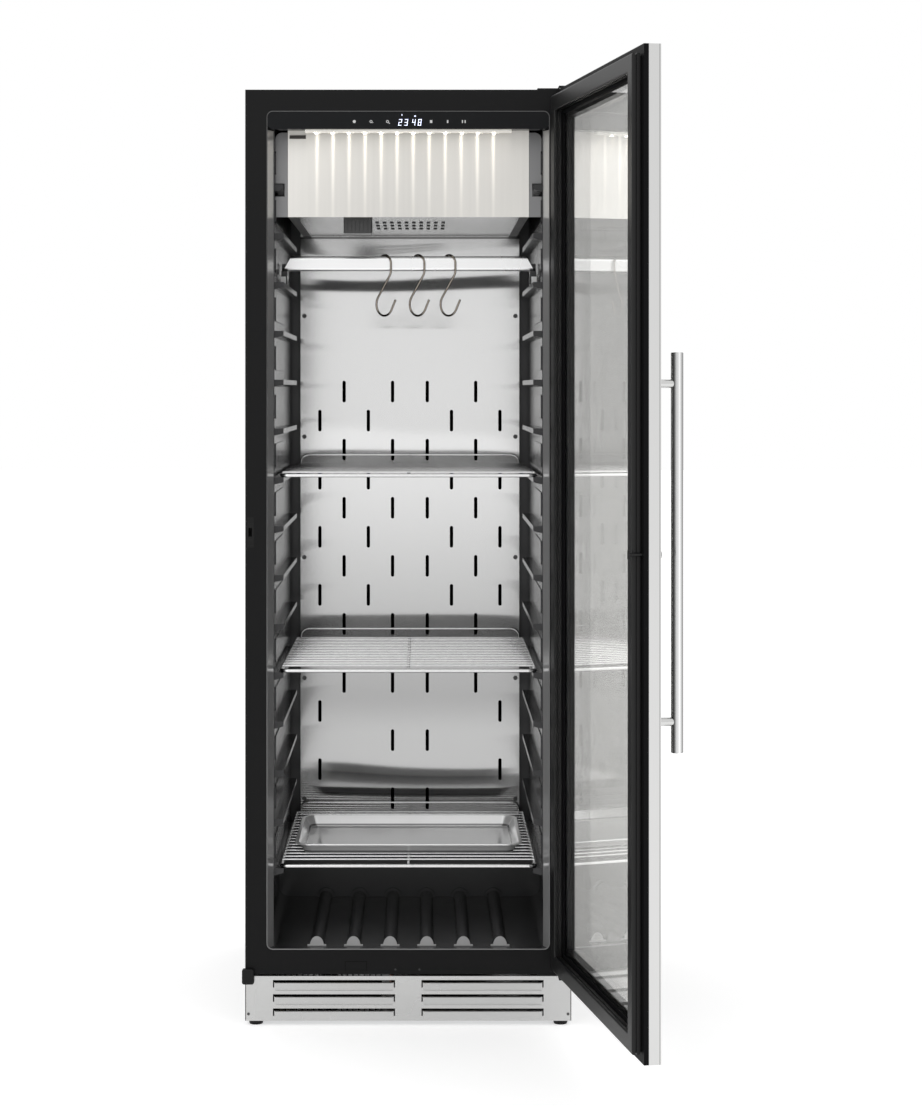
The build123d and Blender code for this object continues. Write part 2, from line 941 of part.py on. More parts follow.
def evaporator_fan_rotor():
    """Rotor that blows the cold air into the duct."""
    return fan_rotor(
        0,
        evaporator_rotor_start(),
        fan_height,
        fan_rotor_radius,
        fan_hub_radius,
        fan_rotor_length,
        fan_shaft_radius + fan_shaft_clearance,
    )


def evaporator_fan_motor():
    """Fan motor on three arms from a ring round the duct panel's hole."""
    back = evaporator_rotor_start() - fan_rotor_gap
    front = back - fan_motor_length
    motor = rod(fan_motor_radius, (0, front, fan_height), (0, back, fan_height))
    shaft_end = back + fan_rotor_gap + fan_shaft_length
    motor += rod(fan_shaft_radius, (0, front, fan_height), (0, shaft_end, fan_height))
    ring_outer = fan_hole_radius + fan_ring_width
    ring = rod(ring_outer, (0, back - fan_arm_thickness, fan_height), (0, panel_front, fan_height))
    ring -= rod(
        fan_hole_radius,
        (0, back - fan_arm_thickness - cut_overrun, fan_height),
        (0, panel_front + cut_overrun, fan_height),
    )
    motor += ring
    arm_start, arm_end = fan_motor_radius / 2, fan_hole_radius + fan_ring_width / 2
    for i in range(3):
        arm = Box(fan_arm_width, fan_arm_thickness, arm_end - arm_start)
        arm = Pos(0, 0, (arm_end + arm_start) / 2) * arm
        motor += Pos(0, back - fan_arm_thickness / 2, fan_height) * Rot(0, 120 * i, 0) * arm
    return motor


def ultraviolet_lamp():
    """Germicidal tube between two sockets on the top box's floor."""
    z = housing_floor + lamp_cap_size / 2
    half = lamp_length / 2
    lamp = rod(lamp_radius, (-half, lamp_front, z), (half, lamp_front, z))
    for side in (-1, 1):
        x = side * (half + lamp_cap_length / 2)
        lamp += block(
            x - lamp_cap_length / 2,
            x + lamp_cap_length / 2,
            lamp_front - lamp_cap_size / 2,
            lamp_front + lamp_cap_size / 2,
            housing_floor,
            housing_floor + lamp_cap_size,
        )
    return lamp


def control_fascia():
    """Black control panel with rounded ends across the top of the opening."""
    fascia = block(-fascia_half, fascia_half, fascia_front, fascia_back, fascia_bottom, fascia_top)
    fascia = fillet(fascia.edges().filter_by(Axis.Y), fascia_radius)
    return fascia + block(
        -fascia_half + 2 * fascia_radius,
        fascia_half - 2 * fascia_radius,
        frame_thickness,
        fascia_back,
        fascia_top - fascia_radius,
        cavity_top,
    )


def control_board():
    """Circuit board on the fascia's back, with its parts."""
    z = (fascia_bottom + fascia_top) / 2
    board = block(
        -board_half_width,
        board_half_width,
        fascia_back,
        fascia_back + board_thickness,
        z - board_height / 2,
        z + board_height / 2,
    )
    back = fascia_back + board_thickness
    low, high = z - board_chip / 2, z + board_chip / 2
    for x in spread(board_chip_count, -board_half_width + board_chip, board_half_width - 2 * board_chip):
        board += block(x, x + board_chip, back, back + board_chip / 2, low, high)
    return board


def light_bar():
    """Strip of lamps under the fascia, with a row of round lenses."""
    top = fascia_bottom - light_height
    bar = block(
        -light_half_width, light_half_width, light_front, light_front + light_depth, top, fascia_bottom
    )
    y = light_front + light_depth / 2
    middle = (lens_count - 1) / 2
    for i in range(lens_count):
        x = (i - middle) * lens_pitch
        bar += rod(lens_radius, (x, y, top - lens_height), (x, y, top))
    return bar


# What is put into the cavity


def bar_section(height, thickness):
    """The bar's rounded section, in a plane across X."""
    return Sketch() + SlotOverall(height, thickness)


def hanging_bar():
    """Flat oval tube with sloping ends."""
    centre = (bar_bottom + bar_top) / 2
    plane = Plane(origin=(-bar_half_length, bar_centre_depth, centre), x_dir=(0, 0, 1), z_dir=(1, 0, 0))
    outer = extrude(plane * bar_section(bar_height, bar_thickness), 2 * bar_half_length)
    inner = extrude(
        plane * bar_section(bar_height - 2 * bar_wall, bar_thickness - 2 * bar_wall), 2 * bar_half_length
    )
    bar = outer - inner
    slope = Polyline(
        (bar_half_length, bar_bottom),
        (bar_half_length - bar_end_slope, bar_top),
        (bar_half_length - bar_end_slope, bar_top + cut_overrun),
        (bar_half_length + bar_end_slope, bar_top + cut_overrun),
        (bar_half_length + bar_end_slope, bar_bottom),
        close=True,
    )
    cut = extrude(facing(bar_centre_depth + bar_thickness) * make_face(slope), 2 * bar_thickness)
    return bar - cut - mirrored(cut)


def bar_brackets():
    """Feet on the ledges, with necks that hold the bar's ends from below and behind."""
    level = ledge_level(bar_level)
    outer = bar_half_length + bracket_inset
    inner = outer - bracket_width
    foot = block(
        inner,
        outer,
        bar_centre_depth - bracket_foot_depth / 2,
        bar_centre_depth + bracket_foot_depth / 2,
        level,
        level + bracket_foot_height,
    )
    centre = (bar_bottom + bar_top) / 2
    back = bar_centre_depth + bracket_neck_depth / 2
    neck_foot = level + bracket_foot_height
    neck = block(inner, outer, bar_centre_depth - bracket_neck_depth / 2, back, neck_foot, bar_bottom)
    neck += block(inner, outer, bar_centre_depth, back, neck_foot, centre)
    plane = Plane(origin=(inner - cut_overrun, bar_centre_depth, centre), x_dir=(0, 0, 1), z_dir=(1, 0, 0))
    neck -= extrude(plane * bar_section(bar_height, bar_thickness), bracket_width + 2 * cut_overrun)
    return all_of([foot + neck, mirrored(foot + neck)])


def s_hook(x):
    """S-shaped wire hook over the bar, turned a little towards the front."""
    turn = radians(hook_turn)
    apex = bar_top + hook_seat_gap + hook_wire_radius
    across = (cos(turn), -sin(turn), 0)
    plane = Plane(origin=(x, bar_centre_depth, apex), x_dir=across, z_dir=(-sin(turn), -cos(turn), 0))
    up, low, bend = hook_upper_radius, hook_lower_radius, hook_bend_radius
    sine, cosine = sin(radians(hook_slant)), cos(radians(hook_slant))
    neck = -up - hook_straight
    low_height = low - hook_height
    shank_start = (up - bend * (1 - cosine), neck - bend * sine)
    drop = shank_start[1] - low_height - low * sine
    shank_end = (shank_start[0] - drop * sine / cosine, low_height + low * sine)
    low_centre = shank_end[0] + low * cosine
    lean_sine, lean_cosine = sin(radians(hook_tip_slant)), cos(radians(hook_tip_slant))
    tip_start = (low_centre + low * lean_cosine, low_height - low * lean_sine)
    tip_end = (tip_start[0] + hook_lower_tip * lean_sine, tip_start[1] + hook_lower_tip * lean_cosine)
    path = Wire(
        [
            Line((-up, -up - hook_upper_tip), (-up, -up)),
            ThreePointArc((-up, -up), (0, 0), (up, -up)),
            Line((up, -up), (up, neck)),
            TangentArc((up, neck), shank_start, tangent=(0, -1)),
            Line(shank_start, shank_end),
            ThreePointArc(shank_end, (low_centre, -hook_height), tip_start),
            Line(tip_start, tip_end),
        ]
    )
    return bent_rod(hook_wire_radius, plane * path)


def wire_shelf(level):
    """Wire shelf: bent frame, centre rod, cross wires welded on top and a raised rear rail."""
    z = level + frame_wire_radius
    half = shelf_half_width - frame_wire_radius
    rear = shelf_rear - frame_wire_radius
    corners = [(-half, shelf_front, z), (half, shelf_front, z), (half, rear, z), (-half, rear, z)]
    path = FilletPolyline(*corners, radius=frame_bend, close=True)
    shelf = bent_rod(frame_wire_radius, path)
    shelf += rod(frame_wire_radius - weld_sink, (0, shelf_front, z), (0, rear, z))
    wire_z = z + frame_wire_radius + cross_wire_radius - weld_sink
    for y in spread(cross_wire_count, shelf_front + cross_wire_front_gap, rear - cross_wire_rear_gap):
        shelf += rod(cross_wire_radius, (-half, y, wire_z), (half, y, wire_z))
    points = [
        (-rail_half_width, rear, z),
        (-rail_half_width, rear, z + rail_height),
        (rail_half_width, rear, z + rail_height),
        (rail_half_width, rear, z),
    ]
    return shelf + bent_rod(rail_wire_radius, FilletPolyline(*points, radius=rail_bend))


def rounded_sheet(width, depth, radius, z):
    """A level rounded rectangle centred on the tray."""
    centre = Pos(0, tray_front + tray_depth / 2, z)
    return centre * RectangleRounded(width, depth, radius)


def tray_shell(wall, base, top):
    """The tray's tapering body, drawn in by one wall thickness all round."""
    width = tray_width - 2 * tray_rim_width - 2 * wall
    depth = tray_depth - 2 * tray_rim_width - 2 * wall
    low = rounded_sheet(width - 2 * tray_draft, depth - 2 * tray_draft, tray_base_corner - wall, base)
    return loft([low, rounded_sheet(width, depth, tray_corner - wall, top)])


def drip_tray():
    """Shallow pressed tray with sloping walls and a rolled rim."""
    stack = 2 * frame_wire_radius + 2 * cross_wire_radius - weld_sink
    base = ledge_level(shelf_levels[0]) + stack + seat_gap
    top = base + tray_height
    rim_base = top - tray_rim_height
    outline = rounded_sheet(tray_width, tray_depth, tray_corner + tray_rim_width, rim_base)
    rim = extrude(outline, tray_rim_height)
    rim = fillet(rim.edges().filter_by(Plane.XY), tray_rim_round)
    tray = tray_shell(0, base, top) + rim
    return tray - tray_shell(tray_wall, base + tray_wall, top)


# Base and machine space


def louvre(x, top):
    """The slit of one louvre and the hooks at its ends, as a cut."""
    half = louvre_width / 2
    cut = block(x - half, x + half, -cut_overrun, kick_thickness + cut_overrun, top - louvre_slit, top)
    for side in (-1, 1):
        edge = x + side * half
        cut += block(
            edge - louvre_hook_width / 2,
            edge + louvre_hook_width / 2,
            -cut_overrun,
            kick_thickness + cut_overrun,
            top - louvre_slit - louvre_hook_height,
            top,
        )
    return cut


def louvre_lip(x, top):
    """The pressed lip below one slit."""
    half = louvre_width / 2 - louvre_hook_width
    high = top - louvre_slit
    low = high - louvre_height
    root = kick_thickness / 2
    out_share, up_share = louvre_lip_shares
    belly = (-louvre_bulge * out_share, low + louvre_height * up_share)
    edges = [
        ThreePointArc((root, low), belly, (-louvre_bulge, high)),
        Line((-louvre_bulge, high), (-louvre_bulge + kick_thickness, high)),
        Line((-louvre_bulge + kick_thickness, high), (root, high - louvre_bulge)),
        Line((root, high - louvre_bulge), (root, low)),
    ]
    plane = Plane(origin=(x - half, 0, 0), x_dir=(0, 1, 0), z_dir=(1, 0, 0))
    return extrude(plane * make_face(Wire(edges)), 2 * half)


def kickplate():
    """Brushed plinth plate with two groups of louvres."""
    plate = block(-kick_half, kick_half, 0, kick_thickness, foot_height, kick_top)
    for side in (-1, 1):
        for i in range(louvre_count):
            top = kick_top - louvre_top_drop - i * louvre_pitch
            plate -= louvre(side * louvre_centre, top)
            plate += louvre_lip(side * louvre_centre, top)
        x = side * (kick_half - kick_screw_inset)
        z = foot_height + kick_screw_height
        hole = kick_screw_radius / 2 + screw_hole_clearance
        plate -= rod(hole, (x, -cut_overrun, z), (x, kick_thickness + cut_overrun, z))
    return plate


def cabinet_screws():
    """Screws of the duct panel, and the two small ones at the plinth's lower corners."""
    screws = []
    for x, z in panel_screw_places():
        screw = rod(screw_head_radius, (x, panel_front - screw_head_height, z), (x, panel_front, z))
        screw += rod(screw_shank_radius, (x, panel_front, z), (x, panel_back + screw_bite / 2, z))
        screws.append(screw)
    z = foot_height + kick_screw_height
    for side in (-1, 1):
        x = side * (kick_half - kick_screw_inset)
        screw = rod(kick_screw_radius, (x, -screw_head_height / 2, z), (x, 0, z))
        screw += rod(kick_screw_radius / 2, (x, 0, z), (x, 2 * frame_thickness, z))
        screws.append(screw)
    return all_of(screws)


def compressor_middle():
    """The depth of the compressor's centre."""
    return body_back - compressor_gap - compressor_depth / 2


def compressor():
    """Compact compressor on a plate with four rubber grommets."""
    x, y = compressor_centre_x, compressor_middle()
    low = base_top + grommet_height
    plate_top = low + compressor_plate_thickness
    body = block(
        x - compressor_width / 2,
        x + compressor_width / 2,
        y - compressor_depth / 2,
        y + compressor_depth / 2,
        plate_top,
        plate_top + compressor_height,
    )
    body = fillet(body.edges().filter_by(Axis.Z), compressor_radius)
    body = fillet(body.faces().sort_by(Axis.Z)[-1].edges(), compressor_top_radius)
    body += block(
        x - compressor_plate_width / 2,
        x + compressor_plate_width / 2,
        y - compressor_depth / 2,
        y + compressor_depth / 2,
        low,
        plate_top,
    )
    for side in (-1, 1):
        for end in (-1, 1):
            gx = x + side * (compressor_plate_width / 2 - grommet_inset)
            gy = y + end * (compressor_depth / 2 - grommet_inset)
            body += rod(grommet_radius, (gx, gy, base_top), (gx, gy, low))
    return body


def compressor_top():
    """The height of the compressor's top."""
    return base_top + grommet_height + compressor_plate_thickness + compressor_height


def condensate_pan():
    """Open pan on the compressor, where the melt water dries off."""
    x, y = compressor_centre_x, compressor_middle()
    outer = block(
        x - condensate_width / 2,
        x + condensate_width / 2,
        y - condensate_depth / 2,
        y + condensate_depth / 2,
        compressor_top(),
        compressor_top() + condensate_height,
    )
    return outer - block(
        x - condensate_width / 2 + condensate_wall,
        x + condensate_width / 2 - condensate_wall,
        y - condensate_depth / 2 + condensate_wall,
        y + condensate_depth / 2 - condensate_wall,
        compressor_top() + condensate_wall,
        compressor_top() + condensate_height + cut_overrun,
    )


def condenser_coil():
    """Condenser behind the left louvres, standing on the base."""
    return finned_coil(
        condenser_left,
        condenser_left + condenser_width,
        condenser_front,
        condenser_front + condenser_depth,
        base_top,
        base_top + condenser_height,
        condenser_fin_count,
        2,
        2,
    )


def condenser_fan_place():
    """The condenser rotor's axis and front face."""
    x = condenser_left + condenser_width / 2
    y = condenser_front + condenser_depth + condenser_rotor_gap
    return x, y, base_top + condenser_height / 2


def condenser_fan_rotor():
    """Rotor that draws air through the condenser."""
    x, y, z = condenser_fan_place()
    bore = fan_shaft_radius + fan_shaft_clearance
    return fan_rotor(x, y, z, condenser_rotor_radius, fan_hub_radius / 2, condenser_rotor_length, bore)


def condenser_fan_motor():
    """Motor of the condenser fan on an upright bracket."""
    x, y, z = condenser_fan_place()
    front = y + condenser_rotor_length + condenser_rotor_gap / 2
    back = front + condenser_motor_length
    motor = rod(condenser_motor_radius, (x, front, z), (x, back, z))
    motor += rod(fan_shaft_radius, (x, y + condenser_rotor_length / 4, z), (x, back, z))
    motor += block(
        x - condenser_bracket_width / 2,
        x + condenser_bracket_width / 2,
        back - condenser_bracket_thickness,
        back,
        base_top,
        z,
    )
    return motor + block(
        x - condenser_bracket_width,
        x + condenser_bracket_width,
        back - condenser_bracket_thickness,
        back + condenser_bracket_width,
        base_top,
        base_top + condenser_bracket_thickness,
    )


def refrigerant_pipes():
    """Discharge pipe to the condenser and riser to the evaporator."""
    y = compressor_middle()
    left = compressor_centre_x - compressor_width / 2
    right = compressor_centre_x + compressor_width / 2
    coil_side = condenser_left + condenser_width
    bay = (left + coil_side) / 2
    coil_y = condenser_front + condenser_depth / 2
    low_z = base_top + condenser_height / 2
    start_z = base_top + discharge_height
    discharge = [
        (left, y, start_z),
        (bay, y, start_z),
        (bay, y, low_z),
        (bay, coil_y, low_z),
        (coil_side, coil_y, low_z),
    ]
    duct_y = cavity_back - duct_depth / 2
    start_z = base_top + riser_start_height
    coil_rear = coil_front + coil_depth / 2
    riser = [
        (right, duct_y, start_z),
        (riser_x, duct_y, start_z),
        (riser_x, duct_y, riser_top),
        (riser_x, coil_rear, riser_top),
        (coil_half_width, coil_rear, riser_top),
    ]
    paths = [FilletPolyline(*points, radius=pipe_bend) for points in (discharge, riser)]
    return all_of([bent_rod(pipe_radius, path) for path in paths])


def inlet_body(extra):
    """The outer block of the mains inlet, lengthened by extra at the back."""
    return block(
        inlet_centre_x - inlet_width / 2,
        inlet_centre_x + inlet_width / 2,
        cabinet_depth - inlet_depth,
        cabinet_depth + extra,
        inlet_bottom,
        inlet_bottom + inlet_height,
    )


def power_inlet():
    """Mains inlet, flush with the rear cover, with three flat pins."""
    body = inlet_body(0)
    middle = inlet_bottom + inlet_height / 2
    floor = cabinet_depth - inlet_recess_depth
    body -= block(
        inlet_centre_x - inlet_width / 2 + inlet_wall,
        inlet_centre_x + inlet_width / 2 - inlet_wall,
        floor,
        cabinet_depth + cut_overrun,
        inlet_bottom + inlet_wall,
        inlet_bottom + inlet_height - inlet_wall,
    )
    for i in (-1, 0, 1):
        x = inlet_centre_x + i * inlet_pin_pitch
        body += block(
            x - inlet_pin_thickness / 2,
            x + inlet_pin_thickness / 2,
            floor,
            floor + inlet_pin_length,
            middle - inlet_pin_width / 2,
            middle + inlet_pin_width / 2,
        )
    return body


# Hinges


def hinge_arm(bottom, top):
    """Flat hinge plate with an arm out to the pin."""
    plate = block(
        kick_half - hinge_base_width,
        kick_half - hinge_base_side_gap,
        frame_thickness,
        frame_thickness + hinge_base_depth,
        bottom,
        top,
    )
    arm = block(
        hinge_x - hinge_arm_half_width,
        hinge_x + hinge_arm_half_width + hinge_arm_round_gap,
        hinge_y - hinge_arm_reach,
        frame_thickness + hinge_base_depth / 2,
        bottom,
        top,
    )
    return plate + arm


def upper_hinge():
    """Hinge plate on the cabinet's top with its pin pointing down."""
    top = cabinet_top + hinge_plate_thickness
    tip = cabinet_top - hinge_pin_length
    pin = rod(hinge_pin_radius, (hinge_x, hinge_y, tip), (hinge_x, hinge_y, top))
    return hinge_arm(cabinet_top, top) + pin


def lower_hinge():
    """Hinge plate under the cabinet's frame with its pin pointing up."""
    bottom = frame_bottom - hinge_plate_thickness
    tip = frame_bottom + hinge_pin_length
    pin = rod(hinge_pin_radius, (hinge_x, hinge_y, bottom), (hinge_x, hinge_y, tip))
    return hinge_arm(bottom, frame_bottom) + pin


def bush_hole(extra):
    """The two seats of the hinge bushes in the door, grown by extra."""
    radius, reach = bush_radius + extra, bush_length + extra
    under, over = door_bottom - cut_overrun, door_top + cut_overrun
    low = rod(radius, (hinge_x, hinge_y, under), (hinge_x, hinge_y, door_bottom + reach))
    high = rod(radius, (hinge_x, hinge_y, door_top - reach), (hinge_x, hinge_y, over))
    return low, high


def hinge_bushes():
    """Flanged nylon bushes at the door's foot and head."""
    bore = hinge_pin_radius + hinge_running_clearance
    low = rod(bush_radius, (hinge_x, hinge_y, door_bottom), (hinge_x, hinge_y, door_bottom + bush_length))
    low += rod(bush_flange_radius, (hinge_x, hinge_y, frame_bottom), (hinge_x, hinge_y, door_bottom))
    high = rod(bush_radius, (hinge_x, hinge_y, door_top - bush_length), (hinge_x, hinge_y, door_top))
    high += rod(bush_flange_radius, (hinge_x, hinge_y, door_top), (hinge_x, hinge_y, cabinet_top))
    through = rod(bore, (hinge_x, hinge_y, 0), (hinge_x, hinge_y, cabinet_top + cut_overrun))
    return all_of([low - through, high - through])


def hinge_blank_cap():
    """Rounded cap over the unused hinge place at the lower left."""
    left = -half_width - blank_cap_overhang
    low = frame_bottom - blank_cap_drop
    front = block(left, left + blank_cap_width, -blank_cap_depth, 0, low, low + blank_cap_height)
    cap = fillet(front.edges().filter_by(Axis.Y), blank_cap_radius)
    return fillet(cap.faces().sort_by(Axis.Y)[0].edges(), blank_cap_radius / 2)


# Door, drawn closed


def door_ring(outer, inner, front, back):
    """A rectangular ring of the door, between two insets and two depths from the door's face."""
    y0, y1 = door_front + front, door_front + back
    ring = block(-half_width + outer, half_width - outer, y0, y1, door_bottom + outer, door_top - outer)
    return ring - block(
        -half_width + inner,
        half_width - inner,
        y0 - cut_overrun,
        y1 + cut_overrun,
        door_bottom + inner,
        door_top - inner,
    )


def door_sheet(inset, front, back):
    """A full rectangle of the door at one inset."""
    y0, y1 = door_front + front, door_front + back
    return block(-half_width + inset, half_width - inset, y0, y1, door_bottom + inset, door_top - inset)


def lock_bore(extra):
    """The lock cylinder's way through the door, grown by extra."""
    return rod(
        lock_radius + extra,
        (lock_x, door_front - cut_overrun, handle_centre_height),
        (lock_x, door_body_back + cut_overrun, handle_centre_height),
    )


def door_frame():
    """Stainless front frame of the door, folded round its edges."""
    frame = door_ring(0, door_frame_width, 0, door_steel_sheet)
    frame += door_ring(0, door_steel_sheet, 0, door_steel_depth)
    for hole in bush_hole(bush_seat_clearance):
        frame -= hole
    return frame - lock_bore(lock_seat_clearance)


def door_inner_frame():
    """Black frame that holds the glass unit in a groove."""
    frame = door_ring(door_steel_sheet, door_frame_width, door_steel_sheet, door_steel_depth)
    frame += door_ring(0, door_frame_width, door_steel_depth, door_body_depth)
    pack = 2 * glass_thickness + spacer_depth
    groove_gap = glass_pocket_gap
    frame -= door_sheet(glass_inset - groove_gap, glass_front - groove_gap, glass_front + pack + groove_gap)
    for hole in bush_hole(bush_seat_clearance):
        frame -= hole
    return frame - lock_bore(lock_seat_clearance)


def door_outer_glass():
    """Outer pane of the glass unit."""
    return door_sheet(glass_inset, glass_front, glass_front + glass_thickness)


def door_inner_glass():
    """Inner pane of the glass unit."""
    front = glass_front + glass_thickness + spacer_depth
    return door_sheet(glass_inset, front, front + glass_thickness)


def glass_spacer():
    """Spacer between the two panes."""
    front = glass_front + glass_thickness
    return door_ring(spacer_inset, spacer_inset + spacer_width, front, front + spacer_depth)


def door_gasket():
    """Bellows gasket round the door's inner face."""
    foot_top = door_body_depth + gasket_foot_height
    gasket = door_ring(gasket_outer_inset, gasket_inner_inset, foot_top, door_thickness)
    gasket = fillet(gasket.faces().sort_by(Axis.Y)[-1].edges(), gasket_round)
    gasket += door_ring(
        gasket_outer_inset + gasket_foot_inset,
        gasket_inner_inset - gasket_foot_inset,
        door_body_depth,
        foot_top,
    )
    groove_front = (foot_top + door_thickness - gasket_groove_height) / 2
    groove_back = groove_front + gasket_groove_height
    outer, inner = gasket_outer_inset + gasket_groove_depth, gasket_inner_inset - gasket_groove_depth
    gasket -= door_ring(gasket_outer_inset - cut_overrun, outer, groove_front, groove_back)
    return gasket - door_ring(inner, gasket_inner_inset + cut_overrun, groove_front, groove_back)


def handle_rod():
    """The plain round bar of the handle."""
    low = handle_centre_height - handle_length / 2
    return rod(handle_radius, (handle_x, handle_y, low), (handle_x, handle_y, low + handle_length))


def handle_bar():
    """Round handle bar with softened ends."""
    bar = handle_rod()
    return chamfer(bar.edges().filter_by(GeomType.CIRCLE), handle_chamfer)


def handle_posts():
    """Two posts between the bar and the door."""
    posts = []
    for side in (-1, 1):
        z = handle_centre_height + side * handle_post_spacing / 2
        post = rod(handle_post_radius, (handle_x, handle_y, z), (handle_x, door_front, z))
        posts.append(post - handle_rod())
    return all_of(posts)


def lock_cylinder():
    """Lock cylinder with its bezel and keyhole, and a socket for the cam's shaft."""
    start = door_front - lock_bezel_height
    z = handle_centre_height
    lock = rod(lock_radius, (lock_x, start, z), (lock_x, door_body_back, z))
    lock += rod(lock_bezel_radius, (lock_x, start, z), (lock_x, door_front, z))
    lock -= block(
        lock_x - lock_key_width / 2,
        lock_x + lock_key_width / 2,
        start - cut_overrun,
        start + lock_key_depth,
        z - lock_key_length / 2,
        z + lock_key_length / 2,
    )
    socket = cam_shaft_radius + hinge_running_clearance
    return lock - rod(
        socket,
        (lock_x, door_body_back - cam_socket_depth - hinge_running_clearance, z),
        (lock_x, door_body_back + cut_overrun, z),
    )


def lock_cam():
    """The lock's turning shaft with its cross bar, upright when unlocked."""
    z = handle_centre_height
    end = door_body_back + cam_shaft_length
    cam = rod(cam_shaft_radius, (lock_x, door_body_back - cam_socket_depth, z), (lock_x, end, z))
    bar = block(
        lock_x - cam_bar_width / 2,
        lock_x + cam_bar_width / 2,
        end - cam_bar_height,
        end,
        z - cam_bar_length / 2,
        z + cam_bar_length / 2,
    )
    return cam + bar


def door_plugs():
    """Round knob and low bumper under the door's foot."""
    y = door_front + plug_depth
    knob_x = -half_width + plug_place
    bump_x = -half_width + bumper_place
    knob = rod(plug_radius, (knob_x, y, door_bottom - plug_height), (knob_x, y, door_bottom))
    bumper = rod(bumper_radius, (bump_x, y, door_bottom - bumper_height), (bump_x, y, door_bottom))
    return all_of([knob, bumper])


def write_cabinet():
    """The fixed cabinet and what it holds."""
    save("outer_shell", outer_shell())
    save("rear_cover", rear_cover())
    save("base_pan", base_pan())
    save("foam_insulation", foam_insulation())
    save("inner_liner", inner_liner())
    save("front_frame", front_frame())
    save("lock_keeper", lock_keeper())
    save("duct_panel", duct_panel())
    panel, ledges = rack_panel(), rack_ledges()
    save("rack_panel_right", panel)
    save("rack_panel_left", mirrored(panel))
    save("rack_ledges_right", ledges)
    save("rack_ledges_left", all_of([mirrored(ledge) for ledge in ledges.solids()]))
    save("top_box_front", top_box_front())
    save("underside_plate", underside_plate())
    save("top_box_housing", top_box_housing())
    save("charcoal_filter", charcoal_filter())
    save("evaporator_coil", evaporator_coil())
    save("evaporator_fan_motor", evaporator_fan_motor())
    save("evaporator_fan_rotor", evaporator_fan_rotor())
    save("ultraviolet_lamp", ultraviolet_lamp())
    save("control_fascia", control_fascia())
    save("control_board", control_board())
    save("light_bar", light_bar())


def write_fittings():
    """Bar, hooks, shelves and tray."""
    save("hanging_bar", hanging_bar())
    save("bar_brackets", bar_brackets())
    for name, x in zip(("left", "middle", "right"), hook_places):
        save(f"hook_{name}", s_hook(x))
    for name, index in zip(("lower", "middle", "upper"), shelf_levels):
        level = ledge_level(index)
        save(f"shelf_{name}", wire_shelf(level))
    save("drip_tray", drip_tray())


def write_machine():
    """Plinth, feet and refrigeration."""
    save("kickplate", kickplate())
    save("cabinet_screws", cabinet_screws())
    names = ("front_left", "front_right", "rear_left", "rear_right")
    for name, (x, y) in zip(names, foot_places()):
        save(f"foot_{name}", levelling_foot(x, y))
    save("compressor", compressor())
    save("condensate_pan", condensate_pan())
    save("condenser_coil", condenser_coil())
    save("condenser_fan_motor", condenser_fan_motor())
    save("condenser_fan_rotor", condenser_fan_rotor())
    save("refrigerant_pipes", refrigerant_pipes())
    save("power_inlet", power_inlet())
    save("upper_hinge", upper_hinge())
    save("lower_hinge", lower_hinge())
    save("hinge_blank_cap", hinge_blank_cap())


def write_door():
    """The door and what turns with it."""
    save_door("hinge_bushes", hinge_bushes())
    save_door("door_frame", door_frame())
    save_door("door_inner_frame", door_inner_frame())
    save_door("door_outer_glass", door_outer_glass())
    save_door("door_inner_glass", door_inner_glass())
    save_door("glass_spacer", glass_spacer())
    save_door("door_gasket", door_gasket())
    save_door("handle_bar", handle_bar())
    save_door("handle_posts", handle_posts())
    save_door("lock_cylinder", lock_cylinder())
    save_door("lock_cam", lock_cam())
    save_door("door_plugs", door_plugs())


os.makedirs("parts", exist_ok=True)
write_cabinet()
write_fittings()
write_machine()
write_door()
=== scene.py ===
"""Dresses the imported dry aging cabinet: finishes, lamps, display, glass and small trim."""

import math

import bmesh
import bpy
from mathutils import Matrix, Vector


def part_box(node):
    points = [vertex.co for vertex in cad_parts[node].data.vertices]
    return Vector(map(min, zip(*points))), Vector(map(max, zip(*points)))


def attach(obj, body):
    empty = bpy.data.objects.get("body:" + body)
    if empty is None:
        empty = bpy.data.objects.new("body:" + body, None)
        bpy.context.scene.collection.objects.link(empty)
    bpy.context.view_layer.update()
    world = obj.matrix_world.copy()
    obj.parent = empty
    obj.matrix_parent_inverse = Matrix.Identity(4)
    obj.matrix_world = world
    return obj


bl_info = {
    "name": "Dry aging cabinet",
    "version": (1, 0, 0),
    "blender": (4, 5, 0),
    "location": "View3D > Sidebar > Cabinet",
    "description": "Finishes, lamps, display and trim of a glazed dry aging cabinet",
    "category": "Add Mesh",
}

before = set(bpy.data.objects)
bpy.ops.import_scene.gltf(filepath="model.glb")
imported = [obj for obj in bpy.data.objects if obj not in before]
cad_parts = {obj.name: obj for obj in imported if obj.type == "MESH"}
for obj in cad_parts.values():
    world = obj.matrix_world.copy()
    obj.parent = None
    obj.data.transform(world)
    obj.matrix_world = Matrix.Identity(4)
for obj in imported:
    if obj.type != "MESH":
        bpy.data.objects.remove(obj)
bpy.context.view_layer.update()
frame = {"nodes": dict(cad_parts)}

FRAME_LOW, FRAME_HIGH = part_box("front_frame")
MIDDLE_X = (FRAME_LOW.x + FRAME_HIGH.x) / 2
FRONT_Y = FRAME_LOW.y
LIGHT_LOW, LIGHT_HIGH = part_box("light_bar")
FASCIA_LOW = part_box("control_fascia")[0]


# Sizes and colours that a user would change


def length_setting(name, description, default, **limits):
    """A length in metres."""
    return number_setting(name, description, default, unit="LENGTH", **limits)


def number_setting(name, description, default, **limits):
    """A plain number."""
    return bpy.props.FloatProperty(name=name, description=description, default=default, **limits)


def colour_setting(name, description, default):
    """A colour."""
    return bpy.props.FloatVectorProperty(
        name=name, description=description, default=default, subtype="COLOR", min=0.0, max=1.0
    )


